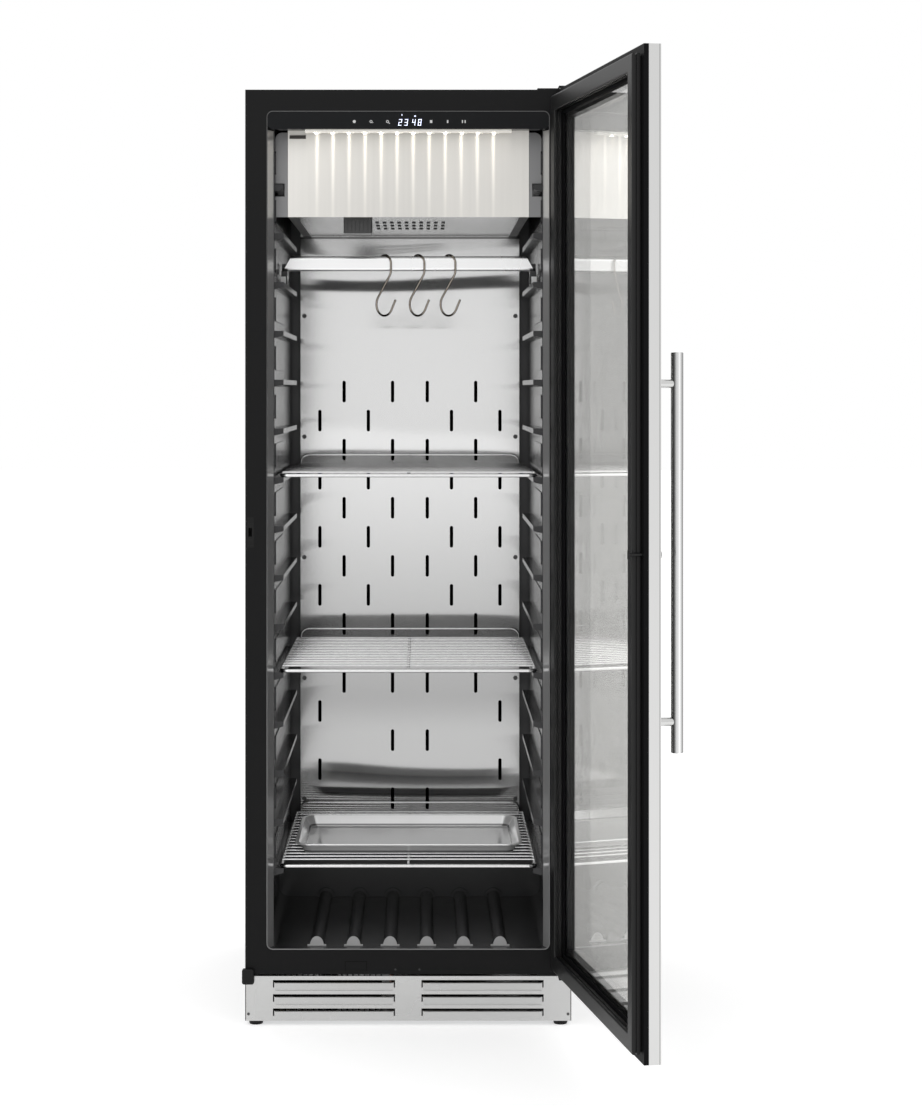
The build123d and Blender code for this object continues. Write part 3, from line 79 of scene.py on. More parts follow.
class FinishSettings(bpy.types.PropertyGroup):
    """Colours and gloss of the cabinet's surfaces."""

    steel: colour_setting(
        "Stainless steel", "Colour of the plinth; the door is a lighter shade of it", (0.56, 0.56, 0.555)
    )
    steel_roughness: number_setting(
        "Steel roughness", "How far brushing spreads reflections", 0.28, min=0.0, max=1.0, subtype="FACTOR"
    )
    wire: colour_setting("Wire", "Colour of the shelves' plated wire", (0.72, 0.72, 0.72))
    black: colour_setting("Wrapper", "Colour of the wrapper's black paint", (0.015, 0.015, 0.0155))
    frame: colour_setting("Front frame", "Colour of the front frame's charcoal paint", (0.008, 0.008, 0.0083))
    liner: colour_setting("Liner", "Colour of the moulded liner", (0.055, 0.055, 0.057))
    foam: colour_setting("Insulation", "Colour of the insulation boards", (0.78, 0.7, 0.5))
    glass: colour_setting("Glass", "Tint of the door's panes", (0.98, 0.977, 0.96))


class LampSettings(bpy.types.PropertyGroup):
    """The row of lamps under the fascia."""

    count: bpy.props.IntProperty(name="Lamps", description="How many lenses glow", default=12, min=2, max=60)
    spacing: length_setting("Spacing", "Distance from one lens to the next", 0.0296, min=0.001)
    radius: length_setting("Lens radius", "Radius of one glowing lens", 0.0024, min=0.0005)
    drop: length_setting("Lens drop", "How far a lens stands below the strip", 0.0014, min=0.0001)
    # The streaks and their wash are painted light: the top box's sheet glows under each lens
    streak_glow: number_setting("Streak glow", "Strength of the streaks under the lenses", 0.5, min=0.0)
    streak_sharpness: number_setting("Streak sharpness", "The higher, the narrower they are", 11.0, min=1.0)
    wash: number_setting("Wash", "Share of the streaks' light between them", 0.16, min=0.0, max=1.0)
    strip_glow: number_setting("Strip glow", "Strength of the strip's own light", 0.25, min=0.0)
    offset: length_setting("Row offset", "How far the row stands off the middle of the strip", -0.006)
    glow: number_setting("Glow", "Strength of the lenses' own light", 9.0, min=0.0)


class TrimSettings(bpy.types.PropertyGroup):
    """The mouth of the cavity and the small pieces round it."""

    bead_radius: length_setting("Bead radius", "Half the thickness of the mouth's bead", 0.0011, min=0.0001)
    mouth_width: length_setting("Mouth width", "Clear width of the front frame", 0.518, min=0.01)
    mouth_height: length_setting("Mouth height", "Clear height of the front frame", 1.532, min=0.01)
    mouth_bottom: length_setting("Mouth bottom", "Height of the lower edge of the mouth", 0.137, min=0.0)
    mouth_corner: length_setting("Mouth corner", "Radius of the mouth's corners", 0.012, min=0.001)
    lining_taper: length_setting("Lining taper", "How far the lining narrows each side", 0.0115, min=0.0)
    flange_top: length_setting("Flange top", "Height of the flanges beside the top box", 1.634, min=0.0)
    catch_height: length_setting("Catch height", "Height of the ledge through each flange", 1.538, min=0.0)
    rib_count: bpy.props.IntProperty(name="Floor ribs", description="How many ribs", default=6, min=1, max=30)
    rib_pitch: length_setting("Rib pitch", "Distance from one floor rib to the next", 0.0677, min=0.001)
    rib_radius: length_setting("Rib radius", "Radius of a rib's end face", 0.0128, min=0.001)
    rib_arch: number_setting("Rib arch", "Height of a rib's end face to its radius", 1.35, min=0.1)
    rib_cap: length_setting("Rib cap", "Thickness of a rib's end face", 0.0008, min=0.0001)
    rib_start: length_setting("Rib start", "Distance from the front frame to the ribs' ends", 0.057, min=0.0)
    rib_floor: length_setting("Rib floor", "Height of the ribbed floor", 0.1321, min=0.0)


class StageSettings(bpy.types.PropertyGroup):
    """Camera and light."""

    lens: number_setting("Lens", "Focal length of the camera in millimetres", 77.6, min=1.0)
    distance: length_setting("Distance", "From the camera to the front frame", 4.35, min=0.1)
    height: length_setting("Eye height", "Height of the camera", 1.159, min=0.0)
    aside: length_setting("Aside", "How far the camera stands to the right of the cabinet's middle", 0.025)
    ambient: number_setting("Ambient", "Strength of the light from all round", 1.0, min=0.0)


# Node trees


def feed(tree, socket, value):
    """Give a socket another socket's value or a plain one."""
    if isinstance(value, bpy.types.NodeSocket):
        tree.links.new(value, socket)
    else:
        socket.default_value = value


def add_node(tree, kind, **values):
    """One node with its inputs or properties set by name."""
    node = tree.nodes.new(kind)
    for key, value in values.items():
        if key in node.inputs:
            node.inputs[key].default_value = value
        else:
            setattr(node, key, value)
    return node


def worked_out(tree, kind, operation, *values):
    """A node that works a result out from its first inputs."""
    node = add_node(tree, kind, operation=operation)
    for socket, value in zip(node.inputs, values):
        feed(tree, socket, value)
    return node.outputs


def maths(tree, operation, *values):
    """The result of one sum on numbers."""
    return worked_out(tree, "ShaderNodeMath", operation, *values)[0]


def vector_maths(tree, operation, *values):
    """The vector that one sum on vectors gives."""
    return worked_out(tree, "ShaderNodeVectorMath", operation, *values)["Vector"]


def along(tree, direction, place):
    """The distance of a place along a direction."""
    return worked_out(tree, "ShaderNodeVectorMath", "DOT_PRODUCT", place, direction)["Value"]


def map_value(tree, value, start, end, low, high, **kind):
    """A value brought from one span to another."""
    node = add_node(tree, "ShaderNodeMapRange", **kind)
    for name, number in (("From Min", start), ("From Max", end), ("To Min", low), ("To Max", high)):
        node.inputs[name].default_value = number
    tree.links.new(value, node.inputs["Value"])
    return node.outputs["Result"]


def spread_value(tree, value, low, high):
    """A 0 to 1 value brought between two limits."""
    return map_value(tree, value, 0.0, 1.0, low, high)


def surface_coordinates(tree, scale=(1, 1, 1)):
    """Object coordinates stretched by a scale along each axis."""
    coordinates = add_node(tree, "ShaderNodeTexCoord")
    mapping = add_node(tree, "ShaderNodeMapping", Scale=scale)
    tree.links.new(coordinates.outputs["Object"], mapping.inputs["Vector"])
    return mapping.outputs["Vector"]


def surface_axes(tree):
    """Object coordinates, one output for each axis."""
    axes = add_node(tree, "ShaderNodeSeparateXYZ")
    tree.links.new(surface_coordinates(tree), axes.inputs[0])
    return axes.outputs


def noise(tree, scale, detail=3.0, stretch=(1, 1, 1)):
    """A noise value over the object's surface."""
    node = add_node(tree, "ShaderNodeTexNoise", Scale=scale, Detail=detail)
    tree.links.new(surface_coordinates(tree, stretch), node.inputs["Vector"])
    return node.outputs["Fac"]


def mix_colours(tree, share, first, second):
    """All of the first colour at zero, all of the second at one."""
    node = add_node(tree, "ShaderNodeMix", data_type="RGBA")
    for place, value in ((0, share), (6, first), (7, second)):
        feed(tree, node.inputs[place], value)
    return node.outputs[2]


def tint(tree, value, colour, share):
    """A colour that varies by a share to each side, by a 0 to 1 value."""
    dark, light = shades(colour, share)
    return mix_colours(tree, value, (*dark, 1), (*light, 1))


def shades(colour, share):
    """A darker and a lighter shade of one colour."""
    return tuple(c * (1 - share) for c in colour), tuple(min(1, c * (1 + share)) for c in colour)


def plain_view(tree):
    """One where a surface is seen by the camera, in a mirror or through glass; zero as light."""
    rays = add_node(tree, "ShaderNodeLightPath").outputs
    seen = rays["Is Camera Ray"]
    for name in ("Is Transmission Ray", "Is Glossy Ray"):
        seen = maths(tree, "MAXIMUM", seen, rays[name])
    return seen


# Materials


def new_material(name):
    """A node material with its tree and its shader."""
    material = bpy.data.materials.new(name)
    material.use_nodes = True
    return material, *shader_of(material)


def shader_of(material):
    """A material's tree and its shader."""
    return material.node_tree, material.node_tree.nodes["Principled BSDF"]


def relief(tree, shader, value, strength, distance):
    """A bump from a 0 to 1 value."""
    node = add_node(tree, "ShaderNodeBump", Strength=strength, Distance=distance)
    tree.links.new(value, node.inputs["Height"])
    tree.links.new(node.outputs["Normal"], shader.inputs["Normal"])
    return node


def clouded(name, colour, spread, clouds, roughness, constants, bump=None, grain=None):
    """A finish whose colour and roughness drift with clouds; its bump follows them or a finer grain."""
    material, tree, shader = new_material(name)
    pattern = noise(tree, *clouds)
    tree.links.new(tint(tree, pattern, colour, spread), shader.inputs["Base Color"])
    tree.links.new(spread_value(tree, pattern, *roughness), shader.inputs["Roughness"])
    for socket, number in constants.items():
        shader.inputs[socket].default_value = number
    if bump:
        relief(tree, shader, noise(tree, *grain) if grain else pattern, *bump)
    return material


def plated_wire(name, colour):
    """Bright plated wire with faint clouding."""
    return clouded(
        name, colour, spread=0.08, clouds=(160.0, 2.0), roughness=(0.14, 0.26),
        constants={"Metallic": 1.0}, bump=(0.1, 0.0003),
    )


def satin_paint(name, colour, roughness, specular):
    """Powder-like satin paint with a fine orange peel."""
    return clouded(
        name, colour, spread=0.12, clouds=(5.0, 3.0), roughness=(roughness * 0.9, roughness * 1.1),
        constants={"Specular IOR Level": specular}, bump=(0.12, 0.0002), grain=(900.0, 2.0),
    )


def moulded_plastic(name, colour, roughness, specular, metallic=0.0):
    """Moulded plastic with a fine grain and slow changes of gloss."""
    return clouded(
        name, colour, spread=0.1, clouds=(7.0, 2.0), roughness=(roughness * 0.85, roughness * 1.15),
        constants={"Specular IOR Level": specular, "Metallic": metallic},
        bump=(0.15, 0.00015), grain=(1400.0, 2.0),
    )


def soft_rubber(name, colour):
    """Matt rubber of the door's gasket."""
    return clouded(
        name, colour, spread=0.15, clouds=(700.0, 3.0), roughness=(0.35, 0.45),
        constants={"Specular IOR Level": 0.25}, bump=(0.1, 0.0002),
    )


def bare_metal(name, colour, roughness):
    """Plain metal with a cast or drawn surface."""
    return clouded(
        name, colour, spread=0.12, clouds=(60.0, 4.0), roughness=(roughness * 0.8, roughness * 1.3),
        constants={"Metallic": 1.0}, bump=(0.15, 0.0003),
    )


def window_glass(name, colour, bending):
    """Coated pane: it mirrors at a slant and lets a share of the light through."""
    return clouded(
        name, colour, spread=0.03, clouds=(2.0, 1.0), roughness=(0.0, 0.012),
        constants={"Transmission Weight": 1.0, "IOR": bending},
    )


def brushed_steel(name, colour, roughness, grain, scratch_height, wave_height=0.0, metallic=1.0):
    """Brushed stainless steel; grain stretches the scratches, and waves bow the sheet a little."""
    material, tree, shader = new_material(name)
    scratches = noise(tree, 1.0, 2.0, grain)
    tree.links.new(tint(tree, scratches, colour, 0.04), shader.inputs["Base Color"])
    shader.inputs["Metallic"].default_value = metallic
    spread = spread_value(tree, noise(tree, 5.0, 2.0), roughness * 0.8, roughness * 1.2)
    tree.links.new(spread, shader.inputs["Roughness"])
    fine = relief(tree, shader, scratches, 1.0, scratch_height)
    if wave_height:
        bowed = add_node(tree, "ShaderNodeBump", Strength=1.0, Distance=wave_height)
        tree.links.new(noise(tree, 1.7, 0.0, (1.5, 1.0, 1.8)), bowed.inputs["Height"])
        tree.links.new(bowed.outputs["Normal"], fine.inputs["Normal"])
    return material


def rigid_foam(name, colour, black_depth):
    """Insulation foam, black near the front frame."""
    material, tree, shader = new_material(name)
    cells = add_node(tree, "ShaderNodeTexVoronoi", Scale=600.0)
    tree.links.new(surface_coordinates(tree), cells.inputs["Vector"])
    behind = maths(tree, "GREATER_THAN", surface_axes(tree)["Y"], FRONT_Y + black_depth)
    body = tint(tree, cells.outputs["Distance"], colour, 0.15)
    tree.links.new(mix_colours(tree, behind, (0.01, 0.01, 0.01, 1), body), shader.inputs["Base Color"])
    shader.inputs["Roughness"].default_value = 0.9
    relief(tree, shader, cells.outputs["Distance"], 0.4, 0.0005)
    return material


def glowing(name, colour, strength, around):
    """A surface that gives its own light, a little uneven over its length."""
    material, tree, shader = new_material(name)
    shader.inputs["Base Color"].default_value = (*colour, 1)
    shader.inputs["Emission Color"].default_value = (*colour, 1)
    level = spread_value(tree, noise(tree, around, 1.0), strength * 0.9, strength * 1.1)
    tree.links.new(level, shader.inputs["Emission Strength"])
    return material


# Painted shade, painted light and painted reflections over a finish, and stretched highlights


def scale_colour(material, level):
    """Make a finish darker or lighter by a level."""
    tree, shader = shader_of(material)
    colour = shader.inputs["Base Color"]
    scaled = add_node(tree, "ShaderNodeVectorMath", operation="SCALE")
    tree.links.new(colour.links[0].from_socket, scaled.inputs[0])
    tree.links.new(level, scaled.inputs["Scale"])
    tree.links.new(scaled.outputs[0], colour)


def paint_shade_along(material, axis, start, end, share):
    """Paint shade and light along an axis: a share of the finish's colour at the start, all of it at the end.
    """
    tree = material.node_tree
    place = surface_axes(tree)[axis]
    scale_colour(material, map_value(tree, place, start, end, share, 1.0, interpolation_type="SMOOTHSTEP"))


def fold_shade_line(material, across, place, width, share):
    """Paint shade as a thin dark line where a sheet is folded; the place is a distance along a direction."""
    tree = material.node_tree
    line = maths(tree, "COMPARE", along(tree, across, surface_coordinates(tree)), place, width / 2)
    scale_colour(material, spread_value(tree, line, 1.0, share))


def painted_round_reflections(material, middle, sideways, stops):
    """Paint reflections on an upright round bar: its tone goes from one flank to the other by stops of place
    and tone.
    """
    tree, shader = shader_of(material)
    colour = shader.inputs["Base Color"]
    spoke = vector_maths(tree, "SUBTRACT", surface_coordinates(tree), middle)
    level = vector_maths(tree, "MULTIPLY", spoke, (1, 1, 0))
    side = along(tree, sideways, vector_maths(tree, "NORMALIZE", level))
    ramp = add_node(tree, "ShaderNodeValToRGB")
    places = ramp.color_ramp.elements
    while len(places) < len(stops):
        places.new(1.0)
    for place, (position, tone) in zip(places, stops):
        place.position = position
        place.color = (tone, tone, tone, 1)
    tree.links.new(map_value(tree, side, -1.0, 1.0, 0.0, 1.0), ramp.inputs[0])
    tree.links.new(vector_maths(tree, "MULTIPLY", colour.links[0].from_socket, ramp.outputs[0]), colour)


def painted_shade_behind(material, low, high):
    """Painted shade: blacken what lies behind a sheet, inside its outline, and take its gloss away."""
    tree, shader = shader_of(material)
    colour, gloss = shader.inputs["Base Color"], shader.inputs["Specular IOR Level"]
    axes = surface_axes(tree)
    in_shade = maths(tree, "GREATER_THAN", axes["X"], low.x)
    for axis, operation, place in (
        ("X", "LESS_THAN", high.x),
        ("Y", "GREATER_THAN", high.y + 0.001),
        ("Z", "GREATER_THAN", low.z),
    ):
        in_shade = maths(tree, "MULTIPLY", in_shade, maths(tree, operation, axes[axis], place))
    black = mix_colours(tree, in_shade, colour.links[0].from_socket, (0.001, 0.001, 0.001, 1))
    tree.links.new(black, colour)
    tree.links.new(spread_value(tree, in_shade, gloss.default_value, 0.0), gloss)


def stretch_highlights(material, share, across):
    """Draw the highlights out at a right angle to the scratches, which run across this axis."""
    tree, shader = shader_of(material)
    shader.inputs["Anisotropic"].default_value = share
    surface = add_node(tree, "ShaderNodeNewGeometry").outputs["True Normal"]
    tree.links.new(vector_maths(tree, "CROSS_PRODUCT", surface, across), shader.inputs["Tangent"])
    return material


def lamp_row(lamps):
    """The middle of the row of lenses and the place of the first one."""
    middle = (LIGHT_LOW.x + LIGHT_HIGH.x) / 2 + lamps.offset
    return middle, middle - lamps.spacing * (lamps.count - 1) / 2


def painted_light_streaks(material, lamps):
    """Painted light: the sheet under the lenses glows in one upright streak for each lens."""
    tree, shader = shader_of(material)
    shader.inputs["Emission Color"].default_value = (1.0, 0.95, 0.84, 1)
    axes = surface_axes(tree)
    middle, start = lamp_row(lamps)
    streak = axes["X"]
    for operation, *numbers in (
        ("SUBTRACT", start),
        ("MULTIPLY", 2 * math.pi / lamps.spacing),
        ("COSINE",),
        ("MULTIPLY_ADD", 0.5, 0.5),
        ("POWER", lamps.streak_sharpness),
    ):
        streak = maths(tree, operation, streak, *numbers)
    foot_glow = lamps.streak_glow * 0.15
    fade = map_value(
        tree, axes["Z"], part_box("top_box_front")[0].z, LIGHT_LOW.z, foot_glow, lamps.streak_glow,
        interpolation_type="SMOOTHSTEP",
    )
    under_row = maths(tree, "COMPARE", axes["X"], middle, lamps.spacing * lamps.count / 2)
    washed = spread_value(tree, maths(tree, "MULTIPLY", streak, under_row), lamps.wash, 1.0)
    tree.links.new(maths(tree, "MULTIPLY", washed, fade), shader.inputs["Emission Strength"])


def finish_nodes(material, *names):
    """Give CAD pieces one finish."""
    for name in names:
        mesh = frame["nodes"][name].data
        mesh.materials.clear()
        mesh.materials.append(material)
        for face in mesh.polygons:
            face.material_index = 0


# Pieces


def own_piece(name, mesh, body):
    """Add a finished mesh to the scene as a piece that rides on a body."""
    piece = bpy.data.objects.new(name, mesh)
    bpy.context.scene.collection.objects.link(piece)
    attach(piece, body)
    return piece


def thicken(work, faces, push):
    """Make flat faces solid: their copies are pushed along a vector."""
    made = bmesh.ops.extrude_face_region(work, geom=faces)
    moved = [v for v in made["geom"] if isinstance(v, bmesh.types.BMVert)]
    bmesh.ops.translate(work, verts=moved, vec=push)


def plate_mesh(work, corners, push):
    """A thin solid plate: one flat face and its copy pushed along a vector."""
    thicken(work, [work.faces.new([work.verts.new(corner) for corner in corners])], push)


def close_piece(work, name, material, body):
    """Turn a bmesh into a piece that rides on a body, with its faces outward."""
    bmesh.ops.recalc_face_normals(work, faces=work.faces)
    mesh = bpy.data.meshes.new(name)
    work.to_mesh(mesh)
    work.free()
    mesh.materials.append(material)
    own_piece(name, mesh, body)


def upright_rectangle(x0, x1, y, z0, z1):
    """The corners of an upright rectangle that faces the front."""
    return [(x0, y, z0), (x1, y, z0), (x1, y, z1), (x0, y, z1)]


class NodeRecipe:
    """A Geometry Nodes tree with named inputs."""

    def __init__(self, name):
        self.tree = bpy.data.node_groups.new(name, "GeometryNodeTree")
        self.tree.interface.new_socket("Geometry", in_out="OUTPUT", socket_type="NodeSocketGeometry")
        self.start = self.tree.nodes.new("NodeGroupInput")
        self.end = self.tree.nodes.new("NodeGroupOutput")
        self.values = {}

    def size(self, name, value, kind="NodeSocketFloat"):
        """A named input with its value; returns its socket."""
        item = self.tree.interface.new_socket(name, in_out="INPUT", socket_type=kind)
        self.values[item.identifier] = value
        return self.start.outputs[name]

    def node(self, kind, inputs, **values):
        """The first output of a node with its inputs fed and its properties set."""
        made = add_node(self.tree, kind, **values)
        for name, value in inputs.items():
            feed(self.tree, made.inputs[name], value)
        return made.outputs[0]

    def join(self, *parts):
        """Several parts as one."""
        both = add_node(self.tree, "GeometryNodeJoinGeometry")
        for part in parts:
            self.tree.links.new(part, both.inputs[0])
        return both.outputs[0]

    def row(self, count, start, step, part):
        """A part repeated in a straight row."""
        places = {"Count": count, "Start Location": start, "Offset": step}
        line = self.node("GeometryNodeMeshLine", places, mode="OFFSET")
        return self.node("GeometryNodeInstanceOnPoints", {"Points": line, "Instance": part})

    def bake(self, geometry, material, name):
        """Realise the tree with its material and return it as a plain mesh."""
        real = self.node("GeometryNodeRealizeInstances", {"Geometry": geometry})
        painted = self.node("GeometryNodeSetMaterial", {"Geometry": real, "Material": material})
        self.tree.links.new(painted, self.end.inputs[0])
        host = bpy.data.objects.new(name, bpy.data.meshes.new(name))
        bpy.context.scene.collection.objects.link(host)
        modifier = host.modifiers.new("recipe", "NODES")
        modifier.node_group = self.tree
        for identifier, value in self.values.items():
            modifier[identifier] = value
        graph = bpy.context.evaluated_depsgraph_get()
        mesh = bpy.data.meshes.new_from_object(host.evaluated_get(graph), depsgraph=graph)
        bpy.data.objects.remove(host)
        mesh.name = name
        return mesh

    def piece(self, geometry, material, name, slot):
        """Bake the tree into a piece of the cabinet, without doubles and with its faces outward."""
        mesh = self.bake(geometry, material, name)
        work = bmesh.new()
        work.from_mesh(mesh)
        bmesh.ops.remove_doubles(work, verts=work.verts, dist=1e-6)
        bmesh.ops.recalc_face_normals(work, faces=work.faces)
        work.to_mesh(mesh)
        work.free()
        mesh.update()
        own_piece(name, mesh, "cabinet")


# Operators


class CABINET_OT_stage(bpy.types.Operator):
    """Set the camera, the pale floor and the soft light"""

    bl_idname = "cabinet.stage"
    bl_label = "Stage"

    sensor_width, shift_across, shift_up = 36.0, 0.0353, -0.1474
    floor_reach, floor_grey, floor_glow = 30.0, 0.7, 0.5
    lamp_place, lamp_aim, lamp_size, lamp_power = (-1.6, -3.6, 3.4), (0, 0.2, 0.9), 2.4, 25

    def execute(self, context):
        scene = context.scene
        stage = scene.cabinet_stage
        scene.view_settings.view_transform = "Standard"
        camera = bpy.data.cameras.new("camera")
        camera.lens = stage.lens
        camera.sensor_width = self.sensor_width
        camera.shift_x = self.shift_across
        camera.shift_y = self.shift_up
        eye = bpy.data.objects.new("camera", camera)
        eye.location = (MIDDLE_X + stage.aside, FRONT_Y - stage.distance, stage.height)
        eye.rotation_euler = (math.radians(90), 0, 0)
        scene.collection.objects.link(eye)
        scene.camera = eye
        self.floor(scene)
        self.sky(scene, stage.ambient)
        self.lamp(scene)
        return {"FINISHED"}

    def floor(self, scene):
        """A wide pale floor, plain to the eye and matt as light."""
        mesh = bpy.data.meshes.new("floor")
        reach = self.floor_reach
        corners = [(-reach, -reach, 0), (reach, -reach, 0), (reach, reach, 0), (-reach, reach, 0)]
        mesh.from_pydata(corners, [], [(0, 1, 2, 3)])
        floor = bpy.data.objects.new("floor", mesh)
        scene.collection.objects.link(floor)
        material, tree, shader = new_material("pale floor")
        shader.inputs["Base Color"].default_value = (self.floor_grey, self.floor_grey, self.floor_grey, 1)
        shader.inputs["Specular IOR Level"].default_value = 0.0
        tree.links.new(spread_value(tree, noise(tree, 0.6, 2.0), 0.85, 0.95), shader.inputs["Roughness"])
        shader.inputs["Emission Color"].default_value = (1, 1, 1, 1)
        glow = spread_value(tree, plain_view(tree), 0.0, self.floor_glow)
        tree.links.new(glow, shader.inputs["Emission Strength"])
        mesh.materials.append(material)

    def sky(self, scene, ambient):
        """White to the eye and in reflections, and as bright as asked for as light."""
        world = bpy.data.worlds.new("sky")
        scene.world = world
        world.use_nodes = True
        tree = world.node_tree
        back = tree.nodes["Background"]
        back.inputs["Color"].default_value = (1, 1, 1, 1)
        tree.links.new(spread_value(tree, plain_view(tree), ambient, 1.0), back.inputs["Strength"])

    def lamp(self, scene):
        """One large soft lamp aimed at the cabinet."""
        data = bpy.data.lights.new("key", "AREA")
        data.shape = "SQUARE"
        data.size = self.lamp_size
        data.energy = self.lamp_power
        lamp = bpy.data.objects.new("key", data)
        lamp.location = self.lamp_place
        aim = Vector(self.lamp_aim) - Vector(self.lamp_place)
        lamp.rotation_euler = aim.to_track_quat("-Z", "Y").to_euler()
        scene.collection.objects.link(lamp)


class CABINET_OT_body_finish(bpy.types.Operator):
    """Paint the wrapper, the frame, the liner, the racks and the machine space"""

    bl_idname = "cabinet.body_finish"
    bl_label = "Body finish"

    racks = ("rack_panel_left", "rack_panel_right", "rack_ledges_left", "rack_ledges_right", "bar_brackets")
    feet = ("foot_front_left", "foot_front_right", "foot_rear_left", "foot_rear_right")
    trim = ("hinge_blank_cap", "door_plugs", "lock_keeper", "power_inlet", *feet)
    fans = ("evaporator_fan_motor", "evaporator_fan_rotor", "condenser_fan_motor", "condenser_fan_rotor")

    def execute(self, context):
        finish = context.scene.cabinet_finish
        wrapper = satin_paint("wrapper paint", tuple(finish.black), 0.5, 0.15)
        finish_nodes(wrapper, "outer_shell", "upper_hinge", "lower_hinge")
        finish_nodes(satin_paint("frame paint", tuple(finish.frame), 0.5, 0.12), "front_frame")
        finish_nodes(bare_metal("zinc sheet", (0.45, 0.46, 0.47), 0.4), "rear_cover", "base_pan")
        finish_nodes(rigid_foam("insulation", tuple(finish.foam), black_depth=0.019), "foam_insulation")
        cavity = moulded_plastic("liner plastic", tuple(finish.liner), 0.25, 0.5)
        # Painted shade: the liner darker at its floor than on the walls above
        paint_shade_along(cavity, "Z", start=0.13, end=0.19, share=0.62)
        # Painted shade: the liner black and without gloss behind the duct panel
        painted_shade_behind(cavity, *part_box("duct_panel"))
        finish_nodes(cavity, "inner_liner")
        finish_nodes(moulded_plastic("rack plastic", (0.022, 0.022, 0.0235), 0.2, 0.4), *self.racks)
        finish_nodes(moulded_plastic("black trim", (0.007, 0.007, 0.007), 0.45, 0.2), *self.trim)
        finish_nodes(moulded_plastic("filter plastic", (0.05, 0.05, 0.05), 0.35, 0.4), "charcoal_filter")
        finish_nodes(satin_paint("compressor paint", (0.012, 0.012, 0.012), 0.35, 0.4), "compressor")
        finish_nodes(moulded_plastic("pan plastic", (0.5, 0.5, 0.5), 0.5, 0.4), "condensate_pan")
        finish_nodes(bare_metal("coil fins", (0.75, 0.76, 0.77), 0.35), "evaporator_coil")
        finish_nodes(satin_paint("black coil", (0.01, 0.01, 0.01), 0.5, 0.2), "condenser_coil")
        finish_nodes(bare_metal("copper", (0.72, 0.38, 0.25), 0.3), "refrigerant_pipes")
        finish_nodes(moulded_plastic("fan plastic", (0.02, 0.02, 0.02), 0.5, 0.3), *self.fans)
        finish_nodes(moulded_plastic("bush nylon", (0.8, 0.8, 0.76), 0.4, 0.5), "hinge_bushes")
        finish_nodes(moulded_plastic("circuit board", (0.02, 0.14, 0.06), 0.5, 0.4), "control_board")
        return {"FINISHED"}


